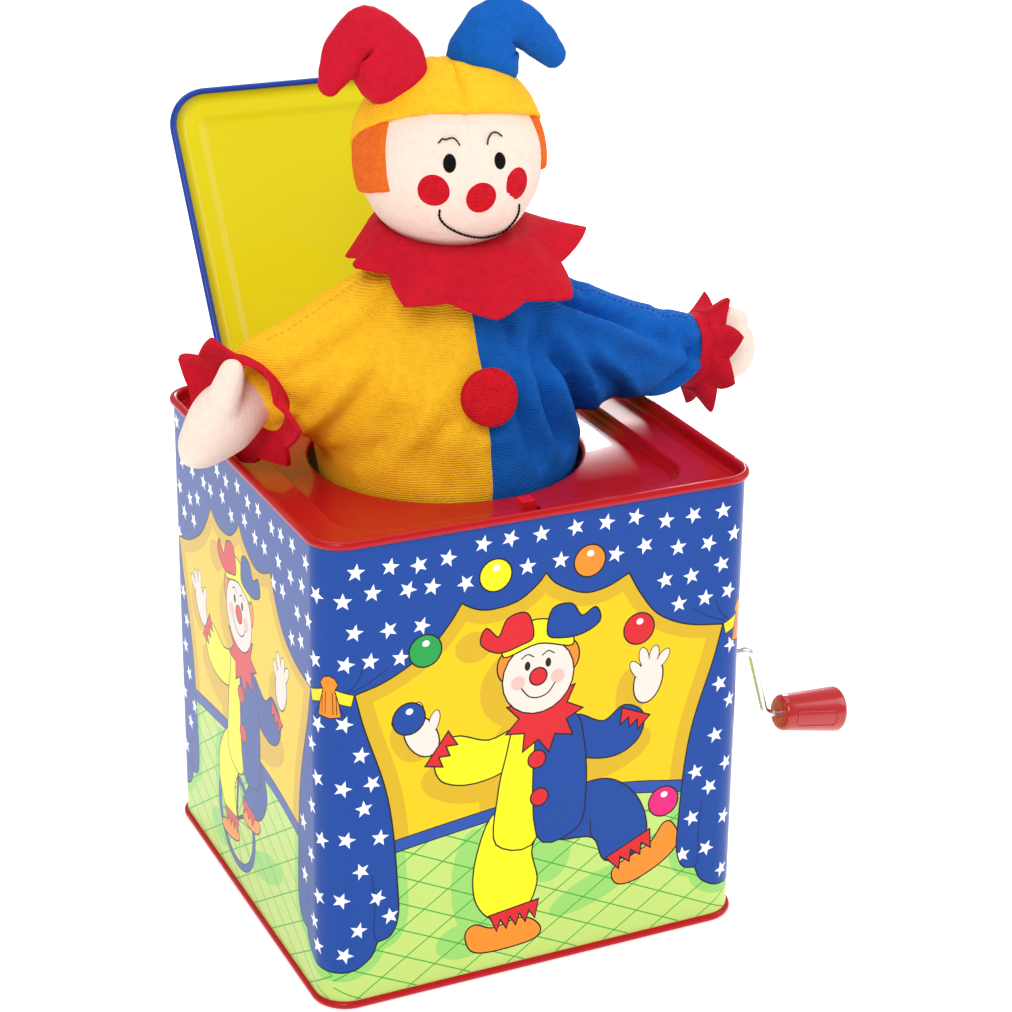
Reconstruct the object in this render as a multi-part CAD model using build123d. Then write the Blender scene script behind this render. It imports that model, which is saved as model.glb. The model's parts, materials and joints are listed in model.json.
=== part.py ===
from build123d import *
import math
import os

# A jack in the box: a square tin box with a hand crank, a music drum, a sprung latch and a lid that
# closes over a spring-up cloth doll. It is drawn as it stands after popping: lid open, doll up.
# Millimetres. Origin at the middle of the base, +Z up, front wall towards -Y, crank on the +X wall.

# tin box
half = 70.0
height = 152.0
corner = 10.0
tin = 0.6
top_bead = 1.3
foot_bead = 1.2

# deck pressed into the top: a ledge, then a square tray that takes the lid, then the round hole
ledge_z = 147.5
tray_half = 56.2
tray_corner = 14.0
tray_z = 143.6
tray_floor_half = 54.8
hole_y = 4.0
hole_r = 43.0
slot_x = 3.2
slot_y = (-61.6, -54.6)

# lid, drawn closed and then swung open about the hinge line
lid_half = 54.2
lid_corner = 14.0
lid_bead = 1.1
lid_open = 123.0
panel_half = 41.0
panel_rise = 1.2
hinge_y = 54.2
hinge_z = 147.6
knuckle_r = 1.3
hinge_pin_r = 0.7
running = 0.05

# music works on the right wall
wall_x = half - tin
plate = 1.0
works_x = 46.0
works_y = (-46.0, 10.0)
works_z = (60.0, 119.0)
module = 0.7
small_teeth = 12
large_teeth = 48
pressure = math.radians(25)
backlash = 0.16
crank_y = -28.0
crank_z = 70.0
idler_turn = math.radians(37)
drum_turn = math.radians(125)
centres = module * (small_teeth + large_teeth) / 2
idler_y = crank_y + centres * math.cos(idler_turn)
idler_z = crank_z + centres * math.sin(idler_turn)
drum_y = idler_y + centres * math.cos(drum_turn)
drum_z = idler_z + centres * math.sin(drum_turn)
axle_r = 1.5
gear_wide = 2.5
first_gear_x = 48.5
second_gear_x = 52.0
barrel_r = 8.0
barrel_x = (second_gear_x + gear_wide, 66.0)
pin_r = 0.35
pin_tall = 0.8
pin_rows = 11
pins_a_row = 5
cam_x = (66.2, 67.6)
cam_r = 10.0
cam_nose = 3.0
comb_gap = 0.1
comb_thick = 0.8

# crank
wire_r = 1.2
arm_top_x = 95.5
arm_foot = (102.5, 45.0)
wire_tip = (123.0, 42.2)
crank_bend = 4.0
knob_start = 5.2
knob_long = 23.0
knob_inner_r = 6.0
knob_outer_r = 7.8
bushing_r = 3.0
bushing_flange = 4.6

# latch: a rocking shaft across the front with a hook at its middle and a tail over the cam
rock_y = -62.5
rock_z = 112.0
rock_r = 1.5
hook_wide = 4.4
hook_thick = 0.8
hook_y = -57.4
hook_tip_y = -53.3
hook_under = 148.35
hook_top = 149.5
tail_x = (66.0, 67.7)

# spring and doll
doll_y = 3.0
seat_r = 29.0
spring_r = 24.5
spring_wire = 1.1
spring_turns = 8
disc_z = 183.0
disc_thick = 3.0
disc_r = 25.8
cloth_thick = 1.5
chest_r = 25.0
chest_top = 210.5
post_r = 4.0
head_z = 240.0
head_r = 29.5
skin_gap = 0.3
cap_thick = 2.0
cap_edge = 250.0
collar_r = 40.0
collar_points = 9
shoulder = (27.0, 199.0)
left_reach = (-0.843, -0.538)
right_reach = (0.914, -0.405)
left_long = 75.0
right_long = 87.0

middle = (Align.CENTER, Align.CENTER, Align.MIN)


def square_block(half_wide, radius, low, high):
    return Pos(0, 0, low) * extrude(RectangleRounded(2 * half_wide, 2 * half_wide, radius), high - low)


def square_bead(half_wide, radius, centre_z, bead_r):
    path = Pos(0, 0, centre_z) * RectangleRounded(2 * half_wide, 2 * half_wide, radius).wire()
    section = Plane(origin=path @ 0, z_dir=path % 0) * Circle(bead_r)
    return sweep(section, path=path)


def square_taper(low_half, low_corner, low, high_half, high_corner, high):
    low_face = Pos(0, 0, low) * RectangleRounded(2 * low_half, 2 * low_half, low_corner)
    high_face = Pos(0, 0, high) * RectangleRounded(2 * high_half, 2 * high_half, high_corner)
    return loft([low_face, high_face])


def block(x, y, z):
    return Pos(x[0], y[0], z[0]) * Box(x[1] - x[0], y[1] - y[0], z[1] - z[0], align=(Align.MIN,) * 3)


def facing_x(x, y, z):
    return Plane(origin=(x, y, z), x_dir=(0, 1, 0), z_dir=(1, 0, 0))


def rod(x, y, z, radius):
    return facing_x(x[0], y, z) * Cylinder(radius, x[1] - x[0], align=middle)


# ---- box ----

def make_tin_body():
    low = 2 * foot_bead
    high = height - 2 * top_bead
    wall = square_block(half, corner, low, high) - square_block(half - tin, corner - tin, 0, height)
    wall -= rod((half - 5, half + 5), crank_y, crank_z, bushing_r)
    for y, z in rivet_places():
        wall -= rod((half - 5, half + 5), y, z, 1.2)
    return wall


def make_bottom_pan():
    inner = half - tin
    pan = square_block(inner, corner - tin, 0, tin)
    pan += square_block(inner, corner - tin, 0, 7) - square_block(inner - tin, corner - 2 * tin, -1, 8)
    return pan + square_bead(half, corner, foot_bead, foot_bead)


def make_top_deck():
    inner = half - tin
    rim_top = height - top_bead
    rim = square_block(inner, corner - tin, ledge_z - tin, rim_top)
    rim -= square_block(inner - tin, corner - 2 * tin, ledge_z, height)
    rim -= square_block(tray_half, tray_corner, ledge_z - 5, ledge_z + 1)
    outside = square_taper(tray_floor_half + tin, tray_corner, tray_z - tin, tray_half + tin, tray_corner, ledge_z)
    inside = square_taper(tray_floor_half, tray_corner - 0.6, tray_z, tray_half, tray_corner, ledge_z + 0.01)
    tray = outside - inside
    hole = Pos(0, hole_y, tray_z - 5) * Cylinder(hole_r, 10, align=middle)
    lip = Pos(0, hole_y, tray_z - 3) * Cylinder(hole_r + tin, 3, align=middle)
    deck = rim + tray + lip - hole + square_bead(half, corner, height - top_bead, top_bead)
    return deck - block((-slot_x, slot_x), slot_y, (tray_z + 0.2, ledge_z + 1))


# ---- lid and hinge ----

def knuckle(x):
    return rod(x, hinge_y, hinge_z, knuckle_r)


def make_hinge_leaf():
    leaf = block((-30, 30), (57, 66.5), (ledge_z, ledge_z + tin))
    for x in ((-30, -18), (-6, 6), (18, 30)):
        leaf += block(x, (hinge_y, 57.5), (ledge_z, ledge_z + tin)) + knuckle(x)
    return leaf - rod((-31, 31), hinge_y, hinge_z, hinge_pin_r)


def make_hinge_pin():
    return rod((-30.6, 30.6), hinge_y, hinge_z, hinge_pin_r)


def swung_open(piece):
    return piece.rotate(Axis((0, hinge_y, hinge_z), (1, 0, 0)), -lid_open)


def make_lid_shell():
    edge = lid_half - lid_bead
    bead_z = hinge_z - lid_bead
    skin_z = bead_z - 0.1
    sheet = square_block(edge, lid_corner - lid_bead, skin_z, skin_z + tin)
    sheet -= square_block(panel_half, 10, skin_z - 1, skin_z + 2)
    rise = skin_z + panel_rise
    outside = square_taper(panel_half + tin, 10, skin_z, panel_half - panel_rise + tin, 9, rise + tin)
    inside = square_taper(panel_half, 10, skin_z - 0.01, panel_half - panel_rise, 9, rise)
    lid = sheet + (outside - inside) + square_bead(edge, lid_corner - lid_bead, bead_z, lid_bead)
    lid -= block((-31, 31), (hinge_y - 2.6, hinge_y + 2), (140, 150))
    for x in ((-17.8, -6.2), (6.2, 17.8)):
        lid += block(x, (hinge_y - 3.2, hinge_y), (skin_z, skin_z + tin)) + knuckle(x)
    lid -= rod((-31, 31), hinge_y, hinge_z, hinge_pin_r + running)
    return swung_open(lid)


# ---- music works ----

def involute(angle):
    return math.tan(angle) - angle


def gear_face(teeth, turn):
    # One tooth is centred on the angle turn, measured from +Y towards +Z.
    pitch_r = module * teeth / 2
    base_r = pitch_r * math.cos(pressure)
    root_r = pitch_r - 1.25 * module
    tip_r = pitch_r + 0.95 * module
    half_tooth = math.pi / (2 * teeth) - backlash / (2 * pitch_r) / 2 + involute(pressure)
    start_r = max(base_r, root_r)
    flank = []
    for step in range(5):
        r = start_r + (tip_r - start_r) * step / 4
        flank.append((r, half_tooth - involute(math.acos(min(1, base_r / r)))))
    outline = []
    for tooth in range(teeth):
        at = turn + tooth * 2 * math.pi / teeth
        side = [(root_r, flank[0][1])] if root_r < start_r else []
        one = [(r, at - a) for r, a in side + flank] + [(r, at + a) for r, a in reversed(side + flank)]
        outline += [(r * math.cos(a), r * math.sin(a)) for r, a in one]
    return make_face(Polyline(*outline, close=True))


def gear(x, y, z, teeth, turn):
    return facing_x(x, y, z) * extrude(gear_face(teeth, turn), gear_wide)


def rivet_places():
    return ((-41, 65), (5, 65), (5, 113), (-41, 92))


def make_works_frame():
    inner = (works_x, works_x + plate)
    outer = (wall_x - plate, wall_x)
    frame = block(inner, works_y, works_z) + block(outer, works_y, works_z)
    frame += block(inner, (rock_y - 4, works_y[0]), (rock_z - 5, rock_z + 5))
    frame += block((works_x, wall_x), works_y, (works_z[0], works_z[0] + plate))
    frame += block((works_x, wall_x), (-1, works_y[1]), (drum_z - plate, drum_z))
    frame -= rod((works_x - 1, wall_x - plate), crank_y, crank_z, wire_r + running)
    frame -= rod((wall_x - plate - 1, wall_x + 1), crank_y, crank_z, bushing_r)
    frame -= rod((works_x - 1, works_x + plate + 1), rock_y, rock_z, rock_r + running)
    for y, z in ((idler_y, idler_z), (drum_y, drum_z)):
        frame -= rod((works_x - 1, wall_x + 1), y, z, axle_r)
    for y, z in rivet_places():
        frame -= rod((wall_x - plate - 1, wall_x + 1), y, z, 1.2)
    for x in (57.5, 64.0):
        frame -= Pos(x, 5, drum_z - 2) * Cylinder(1.0, 4, align=middle)
    return frame


def make_frame_rivets():
    rivets = []
    for y, z in rivet_places():
        head = facing_x(half, y, z) * (Cylinder(2.4, 0.8, align=middle))
        head = fillet(head.edges().group_by(Axis.X)[-1], 0.7)
        inner_head = rod((wall_x - plate - 0.5, wall_x - plate), y, z, 2.2)
        rivets.append(head + rod((wall_x - plate, half), y, z, 1.2) + inner_head)
    return Compound(children=[rivet.solid() for rivet in rivets])


def make_crank_bushing():
    bushing = rod((wall_x - plate, half), crank_y, crank_z, bushing_r)
    bushing += rod((half, half + 0.9), crank_y, crank_z, bushing_flange)
    return bushing - rod((wall_x - plate - 1, half + 2), crank_y, crank_z, wire_r + running)


def axle(y, z):
    return rod((works_x - 0.6, wall_x), y, z, axle_r)


def make_idler_axle():
    return axle(idler_y, idler_z)


def make_drum_axle():
    return axle(drum_y, drum_z)


def make_idler_gear():
    large = gear(first_gear_x, idler_y, idler_z, large_teeth, idler_turn + math.pi + math.pi / large_teeth)
    small = gear(second_gear_x, idler_y, idler_z, small_teeth, drum_turn)
    hub = rod((first_gear_x - 0.8, second_gear_x), idler_y, idler_z, 3.2)
    return large + hub + small - rod((works_x, wall_x), idler_y, idler_z, axle_r + running)


def make_music_drum():
    drum = gear(second_gear_x, drum_y, drum_z, large_teeth, drum_turn + math.pi + math.pi / large_teeth)
    drum += rod(barrel_x, drum_y, drum_z, barrel_r)
    cam = Circle(cam_r) + Pos(0, -cam_nose) * Circle(cam_r * 0.6) + Pos(0, -cam_r) * Circle(cam_nose)
    drum += facing_x(barrel_x[1], drum_y, drum_z) * extrude(cam, cam_x[1] - barrel_x[1])
    for row in range(pin_rows):
        x = barrel_x[0] + 1.0 + row * (barrel_x[1] - barrel_x[0] - 2) / (pin_rows - 1)
        for pin in range(pins_a_row):
            turn = 40 + (row * 7 % pin_rows) * 360 / pin_rows / pins_a_row + pin * 260 / pins_a_row
            peg = Pos(0, 0, barrel_r - 0.5) * Cylinder(pin_r, pin_tall + 0.5, align=middle)
            drum += Pos(x, drum_y, drum_z) * Rot(turn, 0, 0) * peg
    return drum - rod((works_x, wall_x), drum_y, drum_z, axle_r + running)


def make_comb():
    tip_y = drum_y + barrel_r + pin_tall + comb_gap
    comb = block((barrel_x[0] + 0.4, barrel_x[1] - 0.4), (tip_y, 8), (drum_z, drum_z + comb_thick))
    teeth = pin_rows
    pitch = (barrel_x[1] - barrel_x[0] - 2) / (teeth - 1)
    for cut in range(teeth - 1):
        x = barrel_x[0] + 1.0 + (cut + 0.5) * pitch
        comb -= block((x - 0.15, x + 0.15), (tip_y - 1, -1), (drum_z - 1, drum_z + 2))
    for x in (57.5, 64.0):
        comb -= Pos(x, 5, drum_z - 1) * Cylinder(1.0, 4, align=middle)
    return comb


def make_comb_screws():
    screws = []
    for x in (57.5, 64.0):
        shank = Pos(x, 5, drum_z - plate - 1.4) * Cylinder(1.0, plate + 1.4 + comb_thick, align=middle)
        head = Pos(x, 5, drum_z + comb_thick) * Cylinder(1.9, 1.3, align=middle)
        slot = Pos(x, 5, drum_z + comb_thick + 0.8) * Box(4, 0.5, 1, align=middle)
        screws.append((shank + head - slot).solid())
    return Compound(children=screws)


# ---- crank ----

def knob_plane():
    run = Vector(wire_tip[0] - arm_foot[0], 0, wire_tip[1] - arm_foot[1]).normalized()
    start = Vector(arm_foot[0], crank_y, arm_foot[1]) + run * knob_start
    return Plane(origin=start, x_dir=(0, 1, 0), z_dir=run)


def make_crank_wire():
    corners = [(works_x - 1, crank_z), (arm_top_x, crank_z), arm_foot, wire_tip]
    points = [(x, crank_y, z) for x, z in corners]
    path = FilletPolyline(*points, radius=crank_bend)
    return sweep(Plane(origin=points[0], z_dir=(1, 0, 0)) * Circle(wire_r), path=path)


def make_crank_pinion():
    pinion = gear(first_gear_x, crank_y, crank_z, small_teeth, idler_turn)
    pinion += rod((first_gear_x - 1.2, first_gear_x), crank_y, crank_z, 3.0)
    return pinion - rod((works_x, wall_x), crank_y, crank_z, wire_r)


def make_crank_knob():
    knob = Cone(knob_inner_r, knob_outer_r, knob_long, align=middle)
    knob = fillet(knob.edges().filter_by(GeomType.CIRCLE), 1.3)
    deep = (Vector(*wire_tip) - Vector(*arm_foot)).length - knob_start + 0.6
    knob -= Pos(0, 0, -1) * Cylinder(wire_r + running, deep + 1, align=middle)
    return knob_plane() * knob


# ---- latch ----

def make_latch_bracket():
    bracket = block((-16, 16), (-68.2, slot_y[0] - 0.3), (ledge_z - tin - plate, ledge_z - tin))
    for x in ((-6.5, -5.5), (5.5, 6.5)):
        bracket += block(x, (-67, slot_y[0] - 0.3), (rock_z, ledge_z - tin))
        bracket += rod(x, rock_y, rock_z, 4.0)
    return bracket - rod((-8, 8), rock_y, rock_z, rock_r + running)


def make_rock_shaft():
    return rod((-7.5, tail_x[1] + 0.4), rock_y, rock_z, rock_r)


def make_latch_hook():
    x = (-hook_wide / 2, hook_wide / 2)
    low = rock_z - 1.0
    hook = rod(x, rock_y, rock_z, rock_r + 1.2)
    hook += block(x, (rock_y, hook_y), (rock_z + rock_r, rock_z + rock_r + hook_thick))
    hook += block(x, (hook_y - hook_thick, hook_y), (low + 2.5, hook_top))
    hook += block(x, (hook_y - hook_thick, hook_tip_y), (hook_under, hook_top))
    return hook - rod((-5, 5), rock_y, rock_z, rock_r)


def make_latch_tail():
    tail = block(tail_x, (rock_y, -19.0), (drum_z + cam_r + 0.6, drum_z + cam_r + 2.4))
    tail += rod(tail_x, rock_y, rock_z, rock_r + 1.2)
    return tail - rod((tail_x[0] - 1, tail_x[1] + 1), rock_y, rock_z, rock_r)


def make_latch_spring():
    turns, wire = 5, 0.35
    coil = Helix(pitch=1.0, height=turns * 1.0, radius=2.5)
    body = sweep(Plane(origin=coil @ 0, z_dir=coil % 0) * Circle(wire), path=coil, is_frenet=True)
    return facing_x(8.0, rock_y, rock_z) * body


# ---- spring and doll ----

def make_spring_seat():
    seat = Pos(0, doll_y, tin) * Cylinder(seat_r, 1.0, align=middle)
    rim = Cylinder(seat_r, 5.0, align=middle) - Cylinder(seat_r - 1.0, 6.0, align=middle)
    return seat + Pos(0, doll_y, tin) * rim


def make_main_spring():
    low = tin + 1.0 + spring_wire + 0.2
    tall = disc_z - spring_wire - 0.2 - low
    coil = Helix(pitch=tall / spring_turns, height=tall, radius=spring_r)
    body = sweep(Plane(origin=coil @ 0, z_dir=coil % 0) * Circle(spring_wire), path=coil, is_frenet=True)
    return Pos(0, doll_y, low) * body


def lathe(points):
    return Pos(0, doll_y, 0) * revolve(make_face(Plane.XZ * Polyline(*points, close=True)), Axis.Z)


def make_body_cloth():
    outside = [(37.0, 7.0), (37.0, 120.0), (40.5, 140.0), (40.5, 152.0), (36.5, 166.0), (31.5, 180.0), (29.0, 186.0)]
    inside = [(r - cloth_thick, z) for r, z in reversed(outside)]
    return lathe(outside + inside)


def make_chest():
    profile = [(0, 186.3), (chest_r, 186.3), (chest_r, 193), (21, 200), (14, 206), (10, chest_top), (0, chest_top)]
    post = Cylinder(post_r, 60, align=middle)
    return lathe(profile) - Pos(0, doll_y, 180) * post


def make_spring_disc():
    return Pos(0, doll_y, disc_z) * Cylinder(disc_r, disc_thick, align=middle)


def make_neck_post():
    return Pos(0, doll_y, disc_z + disc_thick) * Cylinder(post_r, 40, align=middle)


def ball(extra):
    return Pos(0, doll_y, head_z) * Sphere(head_r + extra)


def make_head():
    return ball(0) - Pos(0, doll_y, disc_z + disc_thick) * Cylinder(post_r, 40, align=middle)


def make_hat_cap():
    shell = ball(skin_gap + cap_thick) - ball(skin_gap)
    return shell & block((-50, 50), (-50, 60), (cap_edge, 300))


def hair(x):
    shell = ball(skin_gap + 1.2) - ball(skin_gap)
    return shell & block(x, (doll_y - 16, doll_y + 12), (228, cap_edge - 0.3))


def horn(sign, lean):
    # Five rings along a drooping curve, from the cap to the soft tip.
    rings = []
    for step in range(5):
        t = step / 4
        x = sign * (15.5 + 6 * t + 14 * t * t)
        z = head_z + 30.0 + 16 * t * (1.35 - t) * 1.9 - 1.5 * t - lean * t * t
        radius = 9.5 - 5.5 * t
        tilt = sign * (22 + 105 * t)
        rings.append(Pos(x, doll_y, z) * Rot(0, tilt, 0) * Circle(radius))
    return loft(rings)


def make_collar():
    profile = [(13.5, 212.0), (collar_r, 200.2), (collar_r, 199.0), (13.5, 210.8)]
    collar = lathe(profile)
    for point in range(collar_points):
        turn = (point + 0.5) * 360 / collar_points
        notch = make_face(Polyline((collar_r - 13, 0), (collar_r + 3, 9.5), (collar_r + 3, -9.5), close=True))
        collar -= Pos(0, doll_y, 190) * Rot(0, 0, turn) * extrude(notch, 30)
    return collar


def make_button():
    facing = Plane(origin=(0, doll_y - 38.6, 175.0), x_dir=(1, 0, 0), z_dir=(0, -0.96, 0.28))
    return facing * Cylinder(8.5, 2.4, align=middle)


def along_arm(reach, start):
    origin = (math.copysign(shoulder[0], reach[0]) + reach[0] * start, doll_y, shoulder[1] + reach[1] * start)
    return Plane(origin=origin, x_dir=(0, 1, 0), z_dir=(reach[0], 0, reach[1]))


def sleeve(reach, end):
    return along_arm(reach, 13.0) * Cone(7.5, 12.0, end - 13.0, align=middle)


def cuff(reach, start):
    return along_arm(reach, start) * Cone(12.0, 17.0, 7.0, align=middle)


def hand(reach, start, long):
    body = Cone(7.5, 10.5, long * 0.5, align=middle)
    body += Pos(0, 0, long * 0.5) * Cone(10.5, 6.0, long * 0.5, align=middle)
    return along_arm(reach, start) * body


makers = {
    "tin_body": make_tin_body,
    "bottom_pan": make_bottom_pan,
    "top_deck": make_top_deck,
    "lid_shell": make_lid_shell,
    "hinge_leaf": make_hinge_leaf,
    "hinge_pin": make_hinge_pin,
    "works_frame": make_works_frame,
    "frame_rivets": make_frame_rivets,
    "crank_bushing": make_crank_bushing,
    "idler_axle": make_idler_axle,
    "drum_axle": make_drum_axle,
    "idler_gear": make_idler_gear,
    "music_drum": make_music_drum,
    "comb": make_comb,
    "comb_screws": make_comb_screws,
    "crank_wire": make_crank_wire,
    "crank_pinion": make_crank_pinion,
    "crank_knob": make_crank_knob,
    "latch_bracket": make_latch_bracket,
    "rock_shaft": make_rock_shaft,
    "latch_hook": make_latch_hook,
    "latch_tail": make_latch_tail,
    "latch_spring": make_latch_spring,
    "spring_seat": make_spring_seat,
    "main_spring": make_main_spring,
    "spring_disc": make_spring_disc,
    "neck_post": make_neck_post,
    "body_cloth": make_body_cloth,
    "chest_padding": make_chest,
    "head": make_head,
    "hat_cap": make_hat_cap,
    "hair_left": lambda: hair((-40, -20)),
    "hair_right": lambda: hair((20, 40)),
    "horn_left": lambda: horn(-1, 2.0),
    "horn_right": lambda: horn(1, 0.0),
    "collar": make_collar,
    "button": make_button,
    "sleeve_left": lambda: sleeve(left_reach, left_long - 26),
    "sleeve_right": lambda: sleeve(right_reach, right_long - 26),
    "cuff_left": lambda: cuff(left_reach, left_long - 25.7),
    "cuff_right": lambda: cuff(right_reach, right_long - 25.7),
    "hand_left": lambda: hand(left_reach, left_long - 18.4, 18.4),
    "hand_right": lambda: hand(right_reach, right_long - 18.4, 18.4),
}

os.makedirs("parts", exist_ok=True)
for node, make in makers.items():
    export_step(make(), "parts/" + node + ".step")
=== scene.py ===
import json
import math
import random
import bpy
import bmesh
import numpy as np
from mathutils import Matrix, Vector, noise
from mathutils.bvhtree import BVHTree
from mathutils.geometry import delaunay_2d_cdt


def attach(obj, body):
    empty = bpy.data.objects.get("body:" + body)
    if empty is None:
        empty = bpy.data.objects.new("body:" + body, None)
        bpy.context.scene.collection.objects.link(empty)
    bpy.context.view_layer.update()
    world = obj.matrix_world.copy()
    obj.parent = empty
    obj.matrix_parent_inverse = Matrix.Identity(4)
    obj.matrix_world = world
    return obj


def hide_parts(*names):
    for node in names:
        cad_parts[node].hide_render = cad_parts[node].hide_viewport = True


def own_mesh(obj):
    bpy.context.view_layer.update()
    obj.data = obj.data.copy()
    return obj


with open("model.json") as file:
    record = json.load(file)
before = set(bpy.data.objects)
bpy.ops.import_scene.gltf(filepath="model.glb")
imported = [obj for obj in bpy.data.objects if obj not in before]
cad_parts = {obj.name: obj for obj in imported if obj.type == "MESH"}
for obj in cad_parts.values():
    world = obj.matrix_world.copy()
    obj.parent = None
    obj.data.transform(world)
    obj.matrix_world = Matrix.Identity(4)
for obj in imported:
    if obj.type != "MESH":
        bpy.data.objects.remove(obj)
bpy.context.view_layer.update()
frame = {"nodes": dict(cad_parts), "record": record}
mm = 0.001


# colours and finishes

def rgb(text):
    parts = [int(text[i:i + 2], 16) / 255 for i in (1, 3, 5)]
    return [c / 12.92 if c <= 0.04045 else ((c + 0.055) / 1.055) ** 2.4 for c in parts] + [1.0]


def newMaterial(name, colour, rough, extra=()):
    material = bpy.data.materials.new(name)
    material.use_nodes = True
    shader = material.node_tree.nodes["Principled BSDF"]
    shader.inputs["Base Color"].default_value = rgb(colour)
    shader.inputs["Roughness"].default_value = rough
    for socket, value in dict(extra).items():
        shader.inputs[socket].default_value = value
    return material


def addBump(material, texture, scale, strength, depth, stretch=(1, 1, 1)):
    tree = material.node_tree
    shader = tree.nodes["Principled BSDF"]
    coords = tree.nodes.new("ShaderNodeTexCoord")
    mapping = tree.nodes.new("ShaderNodeMapping")
    mapping.inputs["Scale"].default_value = stretch
    pattern = tree.nodes.new(texture)
    pattern.inputs["Scale"].default_value = scale
    bump = tree.nodes.new("ShaderNodeBump")
    bump.inputs["Strength"].default_value = strength
    bump.inputs["Distance"].default_value = depth
    tree.links.new(coords.outputs["Object"], mapping.inputs["Vector"])
    tree.links.new(mapping.outputs["Vector"], pattern.inputs["Vector"])
    tree.links.new(pattern.outputs[1 if texture == "ShaderNodeTexWave" else 0], bump.inputs["Height"])
    old = shader.inputs["Normal"].links
    if old:
        tree.links.new(old[0].from_socket, bump.inputs["Normal"])
    tree.links.new(bump.outputs["Normal"], shader.inputs["Normal"])
    return pattern


def addMottle(material, colour, dark, scale, share):
    tree = material.node_tree
    coords = tree.nodes.new("ShaderNodeTexCoord")
    pattern = tree.nodes.new("ShaderNodeTexNoise")
    pattern.inputs["Scale"].default_value = scale
    pattern.inputs["Detail"].default_value = 6
    mix = tree.nodes.new("ShaderNodeMix")
    mix.data_type = "RGBA"
    ramp = tree.nodes.new("ShaderNodeMapRange")
    ramp.inputs["From Min"].default_value = 0.35
    ramp.inputs["From Max"].default_value = 0.7
    ramp.inputs["To Max"].default_value = share
    tree.links.new(coords.outputs["Object"], pattern.inputs["Vector"])
    tree.links.new(pattern.outputs[0], ramp.inputs["Value"])
    tree.links.new(ramp.outputs["Result"], mix.inputs["Factor"])
    mix.inputs["A"].default_value = rgb(colour)
    mix.inputs["B"].default_value = rgb(dark)
    tree.links.new(mix.outputs["Result"], tree.nodes["Principled BSDF"].inputs["Base Color"])


enamelCoat = {"Coat Weight": 0.3, "Coat Roughness": 0.03, "Specular IOR Level": 0.08}


def enamel(name, colour):
    material = newMaterial(name, colour, 0.28, enamelCoat)
    addBump(material, "ShaderNodeTexNoise", 28, 0.25, 0.0006)
    return material


def cloth(name, colour, dark, sheen, rows=0.0):
    material = newMaterial(name, colour, 0.9, {
        "Sheen Weight": sheen, "Sheen Roughness": 0.35, "Specular IOR Level": 0.15})
    material.node_tree.nodes["Principled BSDF"].inputs["Sheen Tint"].default_value = rgb(colour)
    addMottle(material, colour, dark, 420, 0.55)
    addBump(material, "ShaderNodeTexNoise", 1500, 0.55, 0.0005)
    if rows:
        wave = addBump(material, "ShaderNodeTexWave", 430, rows, 0.0003)
        wave.bands_direction = "Z"
        wave.inputs["Distortion"].default_value = 1.5
        wave.inputs["Detail Scale"].default_value = 0.4
    return material


def steel(name, colour, rough):
    material = newMaterial(name, colour, rough, {"Metallic": 1.0})
    addBump(material, "ShaderNodeTexNoise", 900, 0.08, 0.0002, (1, 8, 8))
    return material


finishes = {
    "litho_tin": enamel("lithoTin", "#2748A5"),
    "red_tin": enamel("redTin", "#B8121A"),
    "lid_tin": enamel("lidYellow", "#DDD016"),
    "hinge_steel": steel("hingeSteel", "#B9BABD", 0.3),
    "works_steel": steel("worksSteel", "#B9BABD", 0.35),
    "works_brass": steel("worksBrass", "#D8B15F", 0.3),
    "gear_plastic": newMaterial("gearPlastic", "#ECE8DC", 0.4),
    "drum_brass": steel("drumBrass", "#D0AA5C", 0.35),
    "comb_steel": steel("combSteel", "#A5A7AB", 0.3),
    "crank_steel": steel("crankSteel", "#D8D9DB", 0.16),
    "knob_plastic": newMaterial("knobPlastic", "#B8121C", 0.24, {"Coat Weight": 0.5, "Coat Roughness": 0.1}),
    "latch_red": enamel("latchRed", "#DA1A22"),
    "spring_steel": steel("springSteel", "#96989C", 0.35),
    "wood": newMaterial("beech", "#D9B98A", 0.6),
    "velour_body": cloth("velourBody", "#F7B917", "#E89A0C", 0.15, 0.35),
    "velour_yellow": cloth("velourYellow", "#FFC828", "#F7B61A", 0.15, 0.5),
    "velour_blue": cloth("velourBlue", "#1062BE", "#0D55AE", 0.3, 0.5),
    "velour_red": cloth("velourRed", "#CC1430", "#B50E24", 0.35),
    "plush_cream": cloth("plushCream", "#F6E3D5", "#F0D8C8", 0.2),
    "felt_red": cloth("feltRed", "#CB142B", "#B20F20", 0.3),
    "felt_orange": cloth("feltOrange", "#F9782A", "#E65E10", 0.12, 0.8),
    "stuffing": newMaterial("stuffing", "#EEEBE4", 0.95),
    "thread_red": cloth("threadRed", "#EC1A2C", "#CF1020", 0.15),
}
lidBlue = enamel("lidBlue", "#1E3F9E")
starWhite = newMaterial("starWhite", "#F4F6FA", 0.3, {"Coat Weight": 1.0, "Coat Roughness": 0.06})
eyeBlack = newMaterial("threadBlack", "#060507", 0.6, {"Specular IOR Level": 0.1})
threadYellow = newMaterial("threadYellow", "#F4A808", 0.6)
threadBlue = newMaterial("threadBlue", "#00357F", 0.6)
satin = addBump(finishes["thread_red"], "ShaderNodeTexWave", 520, 0.9, 0.0004)
satin.bands_direction = "Z"

slotOf = {part["node"]: part["material_slot"] for part in frame["record"]["subparts"]}
for name, node in frame["nodes"].items():
    node.data.materials.clear()
    node.data.materials.append(finishes[slotOf[name]])


# mesh helpers, all in millimetres in the frame's own axes

def newPiece(name, data):
    piece = bpy.data.objects.new(name, data)
    bpy.context.scene.collection.objects.link(piece)
    return piece


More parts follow.
